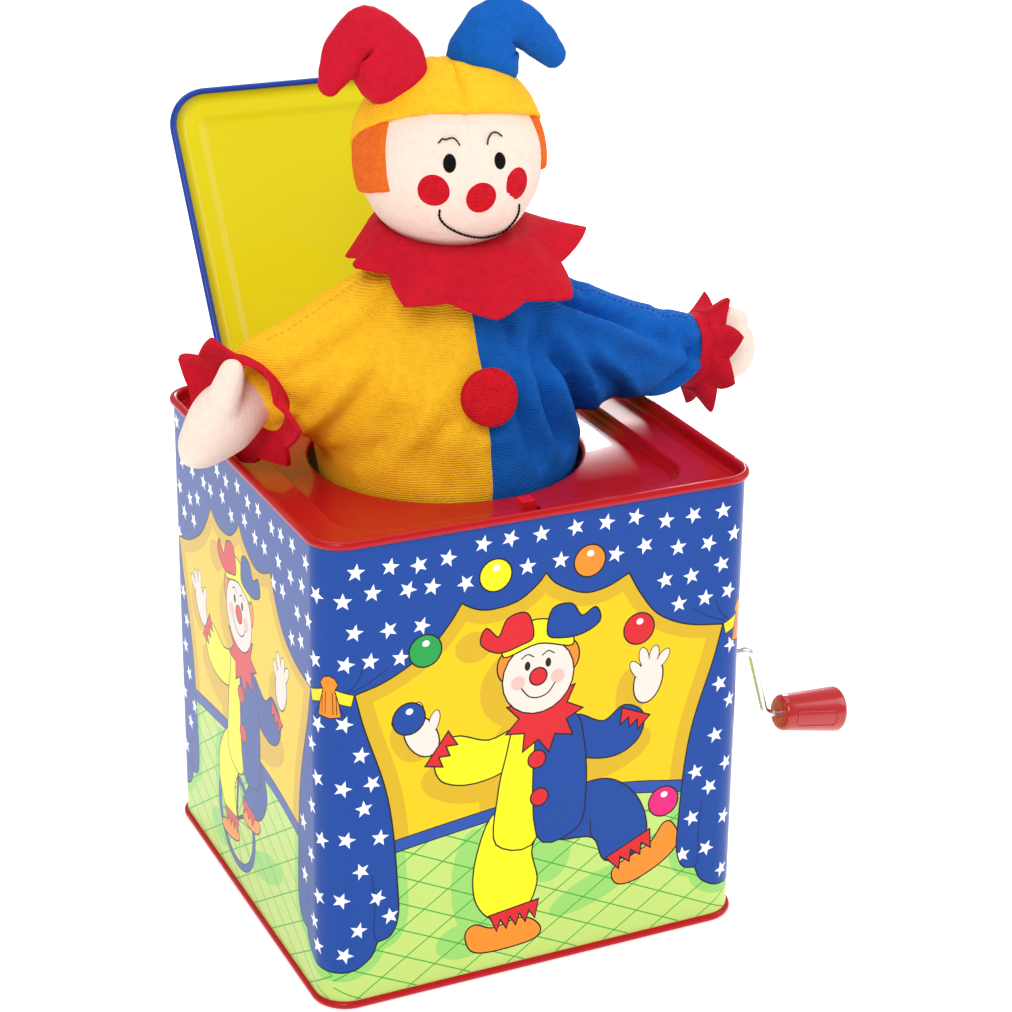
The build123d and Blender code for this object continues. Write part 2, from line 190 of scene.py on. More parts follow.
def buildMesh(name, points, faces, body, slot, materials=None, smooth=True):
    # without materials the piece takes the finish of its slot
    mesh = bpy.data.meshes.new(name)
    mesh.from_pydata([tuple(c * mm for c in p) for p in points], [], [tuple(int(i) for i in f) for f in faces])
    for material in [finishes[slot]] if materials is None else materials:
        mesh.materials.append(material)
    mesh.validate()
    if smooth:
        mesh.shade_smooth()
    piece = newPiece(name, mesh)
    if body:
        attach(piece, body)
    return piece


def ringFaces(rings, around, loop=False, closed=True):
    faces = []
    wide = around if closed else around - 1
    for i in range(rings if loop else rings - 1):
        a, b = i * around, ((i + 1) % rings) * around
        for k in range(wide):
            n = (k + 1) % around
            faces.append((a + k, a + n, b + n, b + k))
    return faces


def outward(piece, merge=False):
    shape = bmesh.new()
    shape.from_mesh(piece.data)
    if merge:
        bmesh.ops.remove_doubles(shape, verts=shape.verts, dist=1e-7)
    bmesh.ops.recalc_face_normals(shape, faces=shape.faces)
    shape.to_mesh(piece.data)
    shape.free()


def cappedRings(rings):
    # closes both ends of a list of equal rings with a point
    around = len(rings[0])
    points = [p for ring in rings for p in ring]
    faces = ringFaces(len(rings), around)
    for ring, start, turned in ((rings[0], 0, True), (rings[-1], (len(rings) - 1) * around, False)):
        points.append(np.mean(ring, axis=0))
        tip = len(points) - 1
        for k in range(around):
            pair = (start + k, start + (k + 1) % around)
            faces.append((tip, pair[1], pair[0]) if turned else (tip, pair[0], pair[1]))
    return points, faces


def mergedRings(ringLists):
    points, faces = [], []
    for rings in ringLists:
        newPoints, newFaces = cappedRings(rings)
        faces += [tuple(i + len(points) for i in f) for f in newFaces]
        points += newPoints
    return points, faces


def closedPiece(name, rings, body, slot, materials=None):
    piece = buildMesh(name, *cappedRings(rings), body, slot, materials)
    outward(piece)
    return piece


def settleModifiers(piece):
    bpy.context.view_layer.update()
    piece.data = bpy.data.meshes.new_from_object(piece.evaluated_get(bpy.context.evaluated_depsgraph_get()))
    piece.modifiers.clear()
    piece.data.shade_smooth()


def oneTurn(count):
    return np.linspace(0, 2 * math.pi, count, endpoint=False)


def splinePoints(points, count):
    # even points on a smooth line through the given ones
    pts = np.array(points, float)
    ext = np.vstack([2 * pts[0] - pts[1], pts, 2 * pts[-1] - pts[-2]])
    fine = []
    for i in range(1, len(ext) - 2):
        p0, p1, p2, p3 = ext[i - 1:i + 3]
        for t in np.linspace(0, 1, 24, endpoint=False):
            fine.append(0.5 * (2 * p1 + (p2 - p0) * t + (2 * p0 - 5 * p1 + 4 * p2 - p3) * t ** 2
                               + (3 * p1 - p0 - 3 * p2 + p3) * t ** 3))
    fine = np.array(fine + [pts[-1]])
    along = np.concatenate([[0], np.cumsum(np.linalg.norm(np.diff(fine[:, :3], axis=0), axis=1))])
    at = np.linspace(0, along[-1], count)
    return np.stack([np.interp(at, along, fine[:, k]) for k in range(fine.shape[1])], axis=1)


def tubeRings(spine, around=48, side=(0, 1, 0)):
    # each spine row is x, y, z, radius across the side direction, radius the other way
    pts = spine[:, :3]
    ahead = np.gradient(pts, axis=0)
    ahead /= np.linalg.norm(ahead, axis=1)[:, None]
    rings = []
    for i, p in enumerate(pts):
        across = np.array(side, float) - ahead[i] * np.dot(side, ahead[i])
        across /= np.linalg.norm(across)
        other = np.cross(ahead[i], across)
        wide, high = spine[i, 3], spine[i, 4]
        rings.append([p + across * wide * math.cos(a) + other * high * math.sin(a) for a in oneTurn(around)])
    return rings


def roundedReach(angle, half, corner):
    # distance from the middle to a rounded square in that direction
    c, s = abs(math.cos(angle)), abs(math.sin(angle))
    c, s = max(c, s), min(c, s)
    flat = half - corner
    if half * s / c <= flat:
        return half / c
    b = flat * (c + s)
    return b + math.sqrt(max(0, b * b - 2 * flat * flat + corner * corner))


squareAngles = []
for quarter in range(4):
    steps = list(np.arange(0, 34, 2)) + list(np.arange(34, 56, 0.9)) + list(np.arange(56, 90, 2))
    squareAngles += [math.radians(quarter * 90 + a) for a in steps]


def squareRing(half, corner, z):
    ring = []
    for a in squareAngles:
        r = roundedReach(a, half, corner)
        ring.append((r * math.cos(a), r * math.sin(a), z))
    return ring


def circleRing(radius, z, y):
    return [(radius * math.cos(a), y + radius * math.sin(a), z) for a in squareAngles]


print("stage: printed walls")
walls = {"half": 70.0, "corner": 10.0, "flat": 60.0, "end": 67.854, "skin": 0.6, "low": 2.2, "high": 149.9}
inks = {
    "black": "#17120F", "blue": "#0C449C", "deepBlue": "#0A2A72", "yellow": "#EDC905", "shade": "#D9B01C",
    "floor": "#C2DD77", "floorShade": "#98D46E", "grid": "#3DA93C", "band": "#2650AA", "star": "#F6F8FF",
    "orange": "#F38D26", "red": "#DA1E2A", "green": "#22A048", "magenta": "#E31C7C", "cream": "#EFE0D6",
    "lemon": "#F9EE12", "pink": "#F3BDB4", "white": "#FFFFFF", "tie": "#F6DE22",
}


def smoothLine(points, closed=False, steps=5):
    pts = [np.array(p, float) for p in points]
    count = len(pts)
    out = []
    for i in range(count if closed else count - 1):
        p1, p2 = pts[i], pts[(i + 1) % count]
        p0 = pts[i - 1] if closed or i > 0 else 2 * p1 - p2
        p3 = pts[(i + 2) % count] if closed or i + 2 < count else 2 * p2 - p1
        for t in np.linspace(0, 1, steps, endpoint=False):
            out.append(tuple(0.5 * (2 * p1 + (p2 - p0) * t + (2 * p0 - 5 * p1 + 4 * p2 - p3) * t ** 2
                                    + (3 * p1 - p0 - 3 * p2 + p3) * t ** 3)))
    return out if closed else out + [tuple(pts[-1])]


def turnsLeft(points):
    return sum(a[0] * b[1] - b[0] * a[1] for a, b in zip(points, points[1:] + points[:1])) > 0


def grown(points, by):
    pts = list(points) if turnsLeft(list(points)) else list(points)[::-1]
    out = []
    for i, p in enumerate(pts):
        a, b = np.subtract(p, pts[i - 1]), np.subtract(pts[(i + 1) % len(pts)], p)
        na, nb = np.array([a[1], -a[0]]), np.array([b[1], -b[0]])
        na, nb = na / max(1e-9, np.linalg.norm(na)), nb / max(1e-9, np.linalg.norm(nb))
        n = na + nb
        size = max(0.35, np.dot(n, na))
        out.append(tuple(np.array(p) + n * by / size))
    return out


def roundShape(x, y, rx, ry=None, turn=0, count=22):
    ry = ry or rx
    c, s = math.cos(math.radians(turn)), math.sin(math.radians(turn))
    shape = []
    for k in range(count):
        a = 2 * math.pi * k / count
        px, py = rx * math.cos(a), ry * math.sin(a)
        shape.append((x + px * c - py * s, y + px * s + py * c))
    return shape


def starShape(x, y, r, turn, points=5, inner=0.42):
    return [(x + r * (1 if k % 2 == 0 else inner) * math.sin(turn + k * math.pi / points),
             y + r * (1 if k % 2 == 0 else inner) * math.cos(turn + k * math.pi / points)) for k in range(2 * points)]


class Picture:
    def __init__(self):
        self.layers = []

    def fill(self, points, colour, over=None):
        self.layers.append((list(points), colour, over))
        return len(self.layers) - 1

    def shape(self, points, colour, line=0.5):
        self.fill(grown(points, line), "black")
        return self.fill(points, colour)

    def blob(self, colour, outline, lean=(0, 0)):
        self.shape(leant(smoothLine(outline, True), lean), colour)

    def line(self, points, wide=0.42, colour="black", over=None):
        for a, b in zip(points, points[1:]):
            d = np.subtract(b, a)
            size = np.linalg.norm(d)
            if size < 1e-6:
                continue
            n, e = np.array([-d[1], d[0]]) / size * wide / 2, d / size * wide * 0.3
            a0, b0 = np.array(a) - e, np.array(b) + e
            self.fill([tuple(a0 - n), tuple(b0 - n), tuple(b0 + n), tuple(a0 + n)], colour, over)

    def ball(self, x, y, colour):
        self.shape(roundShape(x, y, 4.9), colour)
        self.fill(roundShape(x + 0.2, y + 2.3, 1.15, 1.0), "white")


def clipped(a, b, low, high):
    # the part of a sloping line between two heights
    t0, t1 = sorted(((low - a[1]) / (b[1] - a[1]), (high - a[1]) / (b[1] - a[1])))
    t0, t1 = max(0.002, t0), min(0.998, t1)
    if t1 - t0 < 0.01:
        return None
    return [(a[0] + (b[0] - a[0]) * t, a[1] + (b[1] - a[1]) * t) for t in (t0, t1)]


def inside(point, polygon):
    x, y = point
    hit = False
    for a, b in zip(polygon, polygon[1:] + polygon[:1]):
        if (a[1] > y) != (b[1] > y) and x < (b[0] - a[0]) * (y - a[1]) / (b[1] - a[1]) + a[0]:
            hit = not hit
    return hit


def zigzag(start, end, deep, points, bulge=0.0):
    # a frill with pointed tips on one side of the line from start to end
    a, b = np.array(start, float), np.array(end, float)
    n = np.array([-(b - a)[1], (b - a)[0]]) / np.linalg.norm(b - a)
    row = [tuple(a)]
    for k in range(points):
        mid, tip = a + (b - a) * (k + 0.5) / points, a + (b - a) * (k + 1) / points
        row.append(tuple(mid - n * deep * (1 + bulge * math.sin(math.pi * (k + 0.5) / points))))
        if k < points - 1:
            row.append(tuple(tip - n * deep * 0.35))
    return row + [tuple(b)]


def mirrored(points):
    return [(-x, y) for x, y in points]


def leant(points, lean):
    return [(x + lean[0], y + lean[1]) for x, y in points]


def clownTop(p, lean=(0, 0)):
    # head, cap, collar, arms and body of the printed performer
    def at(points):
        return leant(points, lean)

    p.blob("lemon", [(-8, 83), (-18, 80.5), (-29, 84), (-35, 78), (-33, 70.5), (-24, 67.5), (-13, 69.5),
                     (-9, 76)], lean)
    p.blob("blue", [(11, 83), (20, 79), (27, 83), (33.5, 79), (32, 71), (24, 66.8), (13, 69), (9, 76)], lean)
    p.blob("lemon", [(-9, 84), (-1.5, 83), (-1.5, 45), (-15, 45), (-14.5, 62), (-12, 74)], lean)
    p.blob("blue", [(-1.5, 83), (10, 84), (13.5, 74), (14.5, 58), (12, 45), (-1.5, 45)], lean)
    for x, y in ((-2, 71), (-1, 58)):
        p.shape(at(roundShape(x, y, 2.7)), "red")
    for x, y, turn in ((-39.5, 86.5, 120), (35, 90, 78)):
        p.shape(at(roundShape(x, y, 7.4, 4.6, turn)), "cream")
        for k in (-1, 0, 1):
            a = math.radians(turn + k * 24)
            p.shape(at(roundShape(x + 8 * math.cos(a), y + 8 * math.sin(a), 3.3, 1.5, turn + k * 24)), "cream", 0.3)
        side = 1 if x < 0 else -1
        p.shape(at(roundShape(x + side * 4, y + 4, 3.6, 1.5, turn - side * 45)), "cream", 0.3)
        p.fill(at(roundShape(x, y, 7.2, 4.4, turn)), "cream")
    p.shape(at(zigzag((-31, 86), (-38, 76.5), -4.6, 3)), "red")
    p.shape(at(zigzag((35.5, 78), (26.5, 82), -4.6, 3)), "red")
    p.shape(at(starShape(0, 85.5, 12.5, 0.2, 9, 0.62)), "red")
    for side in (-1, 1):
        p.shape(at(roundShape(-2 + side * 9.8, 103.5, 3.4, 5)), "orange")
    p.shape(at(roundShape(-2, 98.5, 11.5, 11.8)), "cream")
    p.blob("lemon", [(-13.2, 107), (-11, 114), (-3, 117), (6, 114), (9, 107), (-2, 109.5)], lean)
    p.blob("red", [(-4, 112), (-6, 119.5), (-12, 119), (-15, 113.5), (-19, 117), (-20.5, 112.5), (-15, 108.8),
                   (-8, 110)], lean)
    p.blob("blue", [(1, 112), (2.5, 119.5), (8.5, 120), (12, 115.5), (16.5, 117.5), (17.8, 113), (12, 110),
                    (5, 110)], lean)
    for x in (-5.6, 1.2):
        p.fill(at(roundShape(x, 102.5, 0.95, 1.5)), "black")
        p.line(at(smoothLine([(x - 2, 105.2), (x, 106.3), (x + 2, 105.2)])), 0.4)
    for x in (-8.6, 4.4):
        p.fill(at(roundShape(x, 97.5, 2.3)), "pink")
    p.shape(at(roundShape(-2, 98.5, 2.6)), "red")
    p.line(at(smoothLine([(-7.5, 95.5), (-5, 92.5), (-2, 91.6), (1.2, 92.5), (3.6, 95.5)])), 0.45)


def juggler(p):
    p.blob("orange", [(-3, 16), (-8, 17.5), (-16, 16), (-22, 18.5), (-25, 16), (-23, 10), (-16, 8.2), (-3, 9),
                      (0, 12)])
    p.blob("orange", [(25, 27), (33, 31), (38, 33.5), (42, 39), (45, 38.5), (47.5, 32), (42, 26), (32, 21.5),
                      (26, 22)])
    p.blob("lemon", [(-15, 56), (-21.5, 42), (-22, 28), (-16, 19.5), (-6, 20), (-1.5, 29), (-3.5, 40), (-1.5, 50)])
    p.blob("blue", [(8, 58), (22, 59), (32, 51), (36, 39), (32, 31.5), (22, 31), (17.5, 40), (6, 42), (-1.5, 46),
                    (-1, 54)])
    p.line(smoothLine([(16.5, 46), (16.8, 41), (19, 38)]), 0.4)
    p.shape(zigzag((-17, 20.5), (-1, 22.5), 5.5, 5), "red")
    p.shape(zigzag((22.5, 31.5), (37, 38), 5.5, 4), "red")
    clownTop(p)


def rider(p):
    hub = (-9.5, 25.5)
    ring = roundShape(hub[0], hub[1], 16.2, count=40)
    p.line(ring + ring[:1], 2.9, "black")
    p.line(ring + ring[:1], 2.1, "band")
    for k in range(8):
        a = k * math.pi / 4 + 0.2
        p.line([hub, (hub[0] + 15 * math.cos(a), hub[1] + 15 * math.sin(a))], 0.3)
    p.line([hub, (-6, 48)], 1.6, "black")
    p.line([(-17, 21), (-2, 30)], 1.4, "black")
    p.shape(roundShape(-6, 47, 9, 2.4, 8), "orange")
    p.blob("orange", [(-1, 33), (4, 34), (10, 35.5), (13, 33), (9, 29.5), (1, 28.5), (-3, 30)])
    p.blob("orange", [(-20, 20), (-15, 22), (-9, 22), (-8, 18.5), (-14, 16), (-22, 15.5), (-24, 18)])
    p.blob("blue", [(0, 56), (14, 57), (20, 48), (15, 38), (6, 34), (-1, 37), (4, 45), (-1, 48)])
    p.blob("lemon", [(-14, 56), (-24, 45), (-25, 32), (-18, 23.5), (-10, 25), (-11, 36), (-5, 46), (-2, 54)])
    p.shape(zigzag((-21, 24.5), (-8, 25.5), 4.6, 4), "red")
    p.shape(zigzag((-3, 36.5), (8, 35), 4.4, 3), "red")
    clownTop(p, (0, 2))


shadows = {
    # x, y, half width, half height, turn
    "wall": ((-8, 96, 13), (-23, 112, 6, 5), (-24, 69, 16, 8, -10), (-43, 86, 6, 8, 30), (-9, 62, 12, 24),
             (20, 68, 17, 8, 12), (29, 86, 5, 9)),
    "floor": ((-22, 33, 8, 19), (-26, 14, 9, 6), (2, 38, 8, 10), (18, 22, 16, 5, 20)),
}
wallSky = {"rows": 14, "startX": -64, "startY": 18, "stepX": 9.8, "stepY": 9.6, "stray": 1.7, "size": 2.9, "tilt": 0.5,
           "edge": 65, "top": 147.5}
balls = ((-16.2, 133.7, "lemon"), (14.2, 133, "orange"), (-38.3, 113.8, "green"), (31.3, 107.8, "red"),
         (-43.5, 93, "blue"), (41.7, 47, "magenta"))
crankHole = (-28.0, 70.0, 3.0)


def stagePicture(performer, seed, hole=None):
    p = Picture()
    end, high = walls["end"], walls["high"]
    p.fill([(-end, walls["low"]), (end, walls["low"]), (end, high), (-end, high)], "floor")
    skirt = smoothLine([(-end, 50.5), (-48.3, 53.7), (-15.8, 57.5), (0, 58.4), (27.5, 56.5), (47.5, 53), (end, 50)])
    inner = smoothLine([(-60.5, 104), (-57.5, 92), (-51.7, 73.7), (-49, 58.7), (-47.5, 38.7), (-47.3, 28.7),
                        (-49.5, 22.5), (-54, 21)])
    fold = smoothLine([(-54, 21), (-56, 16.5), (-60, 13.6), (-64, 12.6), (-end, 12.4)])
    left = [(-end, 106)] + inner + fold[1:]
    swagEdge = (smoothLine([(-61, 104), (-50, 107), (-38, 113.7), (-31, 121), (-27, 127)])
                + smoothLine([(-27, 127), (-22, 124.2), (-16.7, 123.3), (-9, 124.5), (-3, 128.5), (0, 132)])[1:]
                + smoothLine([(0, 132), (4, 127.5), (12.5, 123.3), (20, 123.8), (27.5, 127)])[1:]
                + smoothLine([(27.5, 127), (32, 119), (38, 111.5), (48, 106.4), (61, 104)])[1:])
    swag = [(-end, high), (-end, 104)] + swagEdge + [(end, 104), (end, high)]
    right = mirrored(left)[::-1]
    for shape in (grown(left, 3.4), grown(right, 3.4), *(roundShape(*row) for row in shadows["floor"])):
        p.fill(shape, "floorShade")
    for k in range(-9, 14):
        for a, b in (((-end, k * 9.0 + 34), (end, k * 9.0 - 34)), ((-end, k * 11.0 - 46), (end, k * 11.0 + 44))):
            row = clipped(a, b, walls["low"] + 0.5, 59)
            if row:
                p.line(row, 0.4, "grid", 0)
    backdrop = p.fill([(-end, high)] + skirt + [(end, high)], "yellow")
    for row in shadows["wall"]:
        p.fill(roundShape(*row), "shade", backdrop)
    p.fill(grown(swag, 4.6), "shade", backdrop)
    for side in (left, right):
        p.fill(grown(side, 5), "shade", backdrop)
    p.line([(x, y - 1.9) for x, y in skirt], 4.4, "black")
    p.line([(x, y - 1.9) for x, y in skirt], 3.7, "band")
    performer(p)
    blue = [p.shape(side, "blue") for side in (left, right)]
    for side in (1, -1):
        for row in ([(-55.3, 43.7), (-54.6, 33), (-55, 25.3), (-54, 21)], [(-65.8, 102), (-63.4, 98), (-61.7, 93.7)]):
            p.line([(side * x, y) for x, y in smoothLine(row)], 0.45, "deepBlue")
    blue.append(p.shape(swag, "blue"))
    for side in (1, -1):
        for row in ([(-57.5, 112), (-59.4, 108), (-62.5, 104.8)], [(-50, 110.5), (-56, 107), (-61, 105)]):
            p.line([(side * x, y) for x, y in smoothLine(row)], 0.45, "deepBlue")
    sky = wallSky
    chance = random.Random(seed)
    for row in range(sky["rows"]):
        for column in range(sky["rows"]):
            shift = sky["stepX"] / 2 if row % 2 else 0
            x = sky["startX"] + column * sky["stepX"] + shift + chance.uniform(-sky["stray"], sky["stray"])
            y = sky["startY"] + row * sky["stepY"] + chance.uniform(-sky["stray"], sky["stray"])
            star = starShape(x, y, sky["size"], chance.uniform(-sky["tilt"], sky["tilt"]))
            if abs(x) < sky["edge"] and y < sky["top"]:
                for index in blue:
                    area = p.layers[index][0]
                    if inside((x, y), area) and sum(inside(corner, area) for corner in star) > 7:
                        p.fill(star, "star", index)
                        break
    for side in (1, -1):
        tie = [(-end, 106.4), (-60.6, 103.9), (-61.4, 100.6), (-end, 102.6)]
        tassel = [(-end, 110), (-66.2, 109.4), (-65.2, 107.6), (-66.2, 105.6), (-65, 101.5), (-64.4, 97.4),
                  (-end, 96.8)]
        for shape, colour in ((tie, "tie"), (tassel, "orange")):
            shape = shape if side == 1 else mirrored(shape)[::-1]
            p.shape(shape, colour, 0.3)
        for x in (-66.8, -65.7):
            p.line([(side * x, 105), (side * (x + 0.2), 98)], 0.25)
    if performer is juggler:
        for x, y, colour in balls:
            p.ball(x, y, colour)
    if hole:
        p.fill(roundShape(*hole, count=32), None)
    return p


def wallPlace(u, side, inward):
    bend = np.clip(np.abs(u) - walls["flat"], 0, None) / walls["corner"]
    r = walls["corner"] - inward
    x = np.sign(u) * (np.minimum(np.abs(u), walls["flat"]) + r * np.sin(bend))
    d = walls["flat"] + r * np.cos(bend)
    nx, nd = np.sign(u) * np.sin(bend), np.cos(bend)
    turn = {0: (x, -d, nx, -nd), 1: (d, x, nd, nx), 2: (-x, d, -nx, nd), 3: (-d, -x, -nd, -nx)}
    return turn[side]


def makeWalls():
    points, faces, colours, normals = [], [], [], []
    makers = ((juggler, 11, None), (rider, 12, crankHole), (juggler, 13, None), (rider, 14, None))
    linear = {name: rgb(text) for name, text in inks.items()}
    for side, (performer, seed, hole) in enumerate(makers):
        picture = stagePicture(performer, seed, hole)
        flat, loops = [], []
        low, high, end = walls["low"], walls["high"], walls["end"]
        for layer in picture.layers:
            shape = [(min(end, max(-end, x)), min(high, max(low, y))) for x, y in layer[0]]
            if not turnsLeft(shape):
                shape = shape[::-1]
            loops.append(list(range(len(flat), len(flat) + len(shape))))
            flat += shape
        cuts = []  # upright cuts, so that the print bends round the corners
        for k in range(5):
            for sign in (1, -1):
                x = sign * (walls["flat"] + (end - walls["flat"]) * k / 5)
                cuts.append((len(flat), len(flat) + 1))
                flat += [(x, low), (x, high)]
        done = delaunay_2d_cdt([Vector(q) for q in flat], cuts, loops, 0, 1e-5, True)
        uv = np.array([tuple(q) for q in done[0]])
        outer = []
        for corners, covers in zip(done[2], done[5]):
            covers = set(covers)
            best = next((i for i in sorted(covers, reverse=True)
                         if picture.layers[i][2] is None or picture.layers[i][2] in covers), 0)
            colour = picture.layers[best][1]
            if colour is None:
                continue
            outer.append(tuple(corners))
            colours.append(colour)
        base = len(points)
        for inward, sign in ((0.0, 1), (walls["skin"], -1)):
            x, y, nx, ny = wallPlace(uv[:, 0], side, inward)
            points += list(zip(x, y, uv[:, 1]))
            normals += [(sign * a, sign * b, 0.0) for a, b in zip(nx, ny)]
        count = len(uv)
        faces += [tuple(base + i for i in f) for f in outer]
        faces += [tuple(base + count + i for i in reversed(f)) for f in outer]
        colours += ["white"] * len(outer)
        uses = {pair: True for f in outer for pair in zip(f, f[1:] + f[:1])}
        for a, b in uses:
            if (b, a) not in uses and not (abs(abs(uv[a, 0]) - end) < 1e-3 and abs(abs(uv[b, 0]) - end) < 1e-3):
                faces.append((base + b, base + a, base + count + a, base + count + b))
                colours.append("white")
    piece = buildMesh("printedBox", points, faces, "root", "litho_tin")
    mesh = piece.data
    ink = mesh.color_attributes.new("ink", "FLOAT_COLOR", "CORNER")
    values = []
    for polygon in mesh.polygons:
        values += linear[colours[polygon.index]] * polygon.loop_total
    ink.data.foreach_set("color", values)
    mesh.normals_split_custom_set_from_vertices(normals)
    return piece


def inkFinish(material):
    tree = material.node_tree
    attribute = tree.nodes.new("ShaderNodeAttribute")
    attribute.attribute_name = "ink"
    tree.links.new(attribute.outputs["Color"], tree.nodes["Principled BSDF"].inputs["Base Color"])


inkFinish(finishes["litho_tin"])
printedBox = makeWalls()
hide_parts("tin_body")


print("stage: deck, lid and knob")
deck = {
    "rim": 70.0, "corner": 10.0, "bead": 1.3, "beadZ": 150.7, "wall": 68.7, "ledge": 147.5,
    "tray": 56.2, "trayCorner": 14.0, "floor": 143.6, "holeY": 4.0, "hole": 43.0,
    "slotHalf": 3.2, "slotY": (-61.6, -54.6), "slotZ": (144.5, 149),
}


def arc(centre, radius, start, end, count):
    return [(centre[0] + radius * math.cos(math.radians(a)), centre[1] + radius * math.sin(math.radians(a)))
            for a in np.linspace(start, end, count)]


def squareProfile(profile, corner, half):
    # each profile row is a half width and a height; the corner radius follows the half width
    return [squareRing(h, max(2.0, corner + h - half), z) for h, z in profile]


def makeDeck():
    d = deck
    rim = arc((d["rim"], d["beadZ"]), d["bead"], -100, 180, 17)
    inside = [(d["wall"], 149.6)] + arc((d["wall"] - 1.0, d["ledge"] + 1.0), 1.0, 0, -90, 5)
    rings = squareProfile(rim + inside, d["corner"], d["rim"])
    step = arc((d["tray"] + 1.3, d["ledge"] - 1.3), 1.3, 90, 180, 7) + [(d["tray"] - 0.6, 145.2)]
    step += arc((d["tray"] - 2.4, d["floor"] + 1.2), 1.2, 0, -90, 6)
    rings += squareProfile(step, d["trayCorner"], d["tray"])
    lip = [(46.5, d["floor"])] + arc((d["hole"] + 1.2, d["floor"] - 1.2), 1.2, 90, 180, 6) + [(d["hole"], 140.6)]
    rings += [circleRing(r, z, d["holeY"]) for r, z in lip]
    under = [(d["hole"] + 0.6, 140.6), (d["hole"] + 0.6, 142.2), (d["hole"] + 1.3, 143.0), (47.0, 143.0)]
    rings += [circleRing(r, z, d["holeY"]) for r, z in under]
    back = [(d["tray"] - 2.0, 143.0), (d["tray"] - 0.2, 144.0), (d["tray"] + 0.3, 146.5), (d["tray"] + 1.6, 146.9)]
    rings += squareProfile(back, d["trayCorner"], d["tray"])
    outer = [(68.8, 146.9), (69.3, 147.4), (69.3, 149.3)]
    rings += squareProfile(outer, d["corner"], d["rim"])
    points = [q for ring in rings for q in ring]
    piece = buildMesh("deck", points, ringFaces(len(rings), len(squareAngles), loop=True), "root", "red_tin")
    outward(piece, merge=True)
    wide, (front, rear), heights = d["slotHalf"], d["slotY"], d["slotZ"]
    corners = ((-wide, front), (wide, front), (wide, rear), (-wide, rear))
    sides = [(3, 2, 1, 0), (4, 5, 6, 7), (0, 1, 5, 4), (1, 2, 6, 5), (2, 3, 7, 6), (3, 0, 4, 7)]
    cutter = buildMesh("slotCut", [(x, y, z) for z in heights for x, y in corners], sides, None, None, [], False)
    applyBoolean(piece, cutter)
    return piece


def applyBoolean(piece, cutter):
    cut = piece.modifiers.new("cut", "BOOLEAN")
    cut.operation = "DIFFERENCE"
    cut.solver = "EXACT"
    cut.object = cutter
    settleModifiers(piece)
    bpy.data.objects.remove(cutter)
    piece.data.set_sharp_from_angle(angle=math.radians(50))


topDeck = makeDeck()
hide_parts("top_deck")

lid = {"half": 53.1, "corner": 12.9, "bead": 1.1, "beadZ": 146.5, "skinLow": 146.4, "skinHigh": 147.0,
       "panel": 43.0, "panelCorner": 9.5, "rise": 1.0, "hingeY": 54.2, "hingeZ": 147.6, "open": 123.0}


def lidTurn(point):
    a = -math.radians(lid["open"])
    y, z = point[1] - lid["hingeY"], point[2] - lid["hingeZ"]
    return (point[0], lid["hingeY"] + y * math.cos(a) - z * math.sin(a),
            lid["hingeZ"] + y * math.sin(a) + z * math.cos(a))


def makeLid():
    p = lid["panel"]
    low, high, rise = lid["skinLow"], lid["skinHigh"], lid["rise"]

    def skin(z):
        ease = [(p + 2.2 - 3.6 * t, z + rise * (3 * t * t - 2 * t ** 3)) for t in np.linspace(0, 1, 7)]
        return [(lid["half"] - 0.6, z), (48.0, z)] + ease + [(30.0, z + rise), (14.0, z + rise), (2.5, z + rise)]

    inner = skin(low)[::-1]
    bead = arc((lid["half"], lid["beadZ"]), lid["bead"], -160, 150, 15)
    outer = skin(high)
    rings = []
    for row, corner in ((inner, lid["panelCorner"]), (bead, lid["corner"]), (outer, lid["panelCorner"])):
        for h, z in row:
            c = lid["corner"] + h - lid["half"] if h > 43 else min(h, max(1.5, corner + (h - p) * 0.6))
            rings.append(squareRing(h, c, z))
    points, faces = cappedRings(rings)
    piece = buildMesh("lid", [lidTurn(q) for q in points], faces, "lid", "lid_tin", [finishes["lid_tin"], lidBlue])
    around = len(squareAngles)
    for polygon in piece.data.polygons:
        rows = [v // around for v in polygon.vertices if v < len(rings) * around]
        polygon.material_index = 0 if max(rows) <= len(inner) - 1 else 1
    outward(piece)
    return piece


def makeKnuckles():
    # short rolled sleeves of the lid between those of the leaf
    sleeves = []
    for low, high in ((-17.8, -6.2), (6.2, 17.8)):
        profile = ((low, 0.9), (low, 1.25), (low + 0.1, 1.3), (high - 0.1, 1.3), (high, 1.25), (high, 0.9))
        sleeves.append([[(x, lid["hingeY"] + r * math.cos(a), lid["hingeZ"] + r * math.sin(a)) for a in oneTurn(24)]
                        for x, r in profile])
    outward(buildMesh("lidKnuckles", *mergedRings(sleeves), "lid", "lid_tin", [lidBlue]))


lidSky = {"seed": 5, "rows": 10, "start": -47, "step": 10.4, "stray": 1.6, "edge": 38, "size": 2.7, "tilt": 0.5,
          "lift": 0.03}


def makeLidStars():
    sky = lidSky
    chance = random.Random(sky["seed"])
    points, faces = [], []
    z = lid["skinHigh"] + lid["rise"] + sky["lift"]
    for row in range(sky["rows"]):
        for column in range(sky["rows"]):
            shift = sky["step"] / 2 if row % 2 else 0
            x = sky["start"] + column * sky["step"] + shift + chance.uniform(-sky["stray"], sky["stray"])
            y = sky["start"] + row * sky["step"] + chance.uniform(-sky["stray"], sky["stray"])
            if max(abs(x), abs(y)) < sky["edge"]:
                base = len(points)
                star = starShape(x, y, sky["size"], chance.uniform(-sky["tilt"], sky["tilt"]))
                points += [lidTurn((a, b, z)) for a, b in star] + [lidTurn((x, y, z))]
                faces += [(base + 10, base + (k + 1) % 10, base + k) for k in range(10)]
    buildMesh("lidStars", points, faces, "lid", "lid_tin", [starWhite], False)


lidPiece = makeLid()
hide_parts("lid_shell")
makeKnuckles()
makeLidStars()

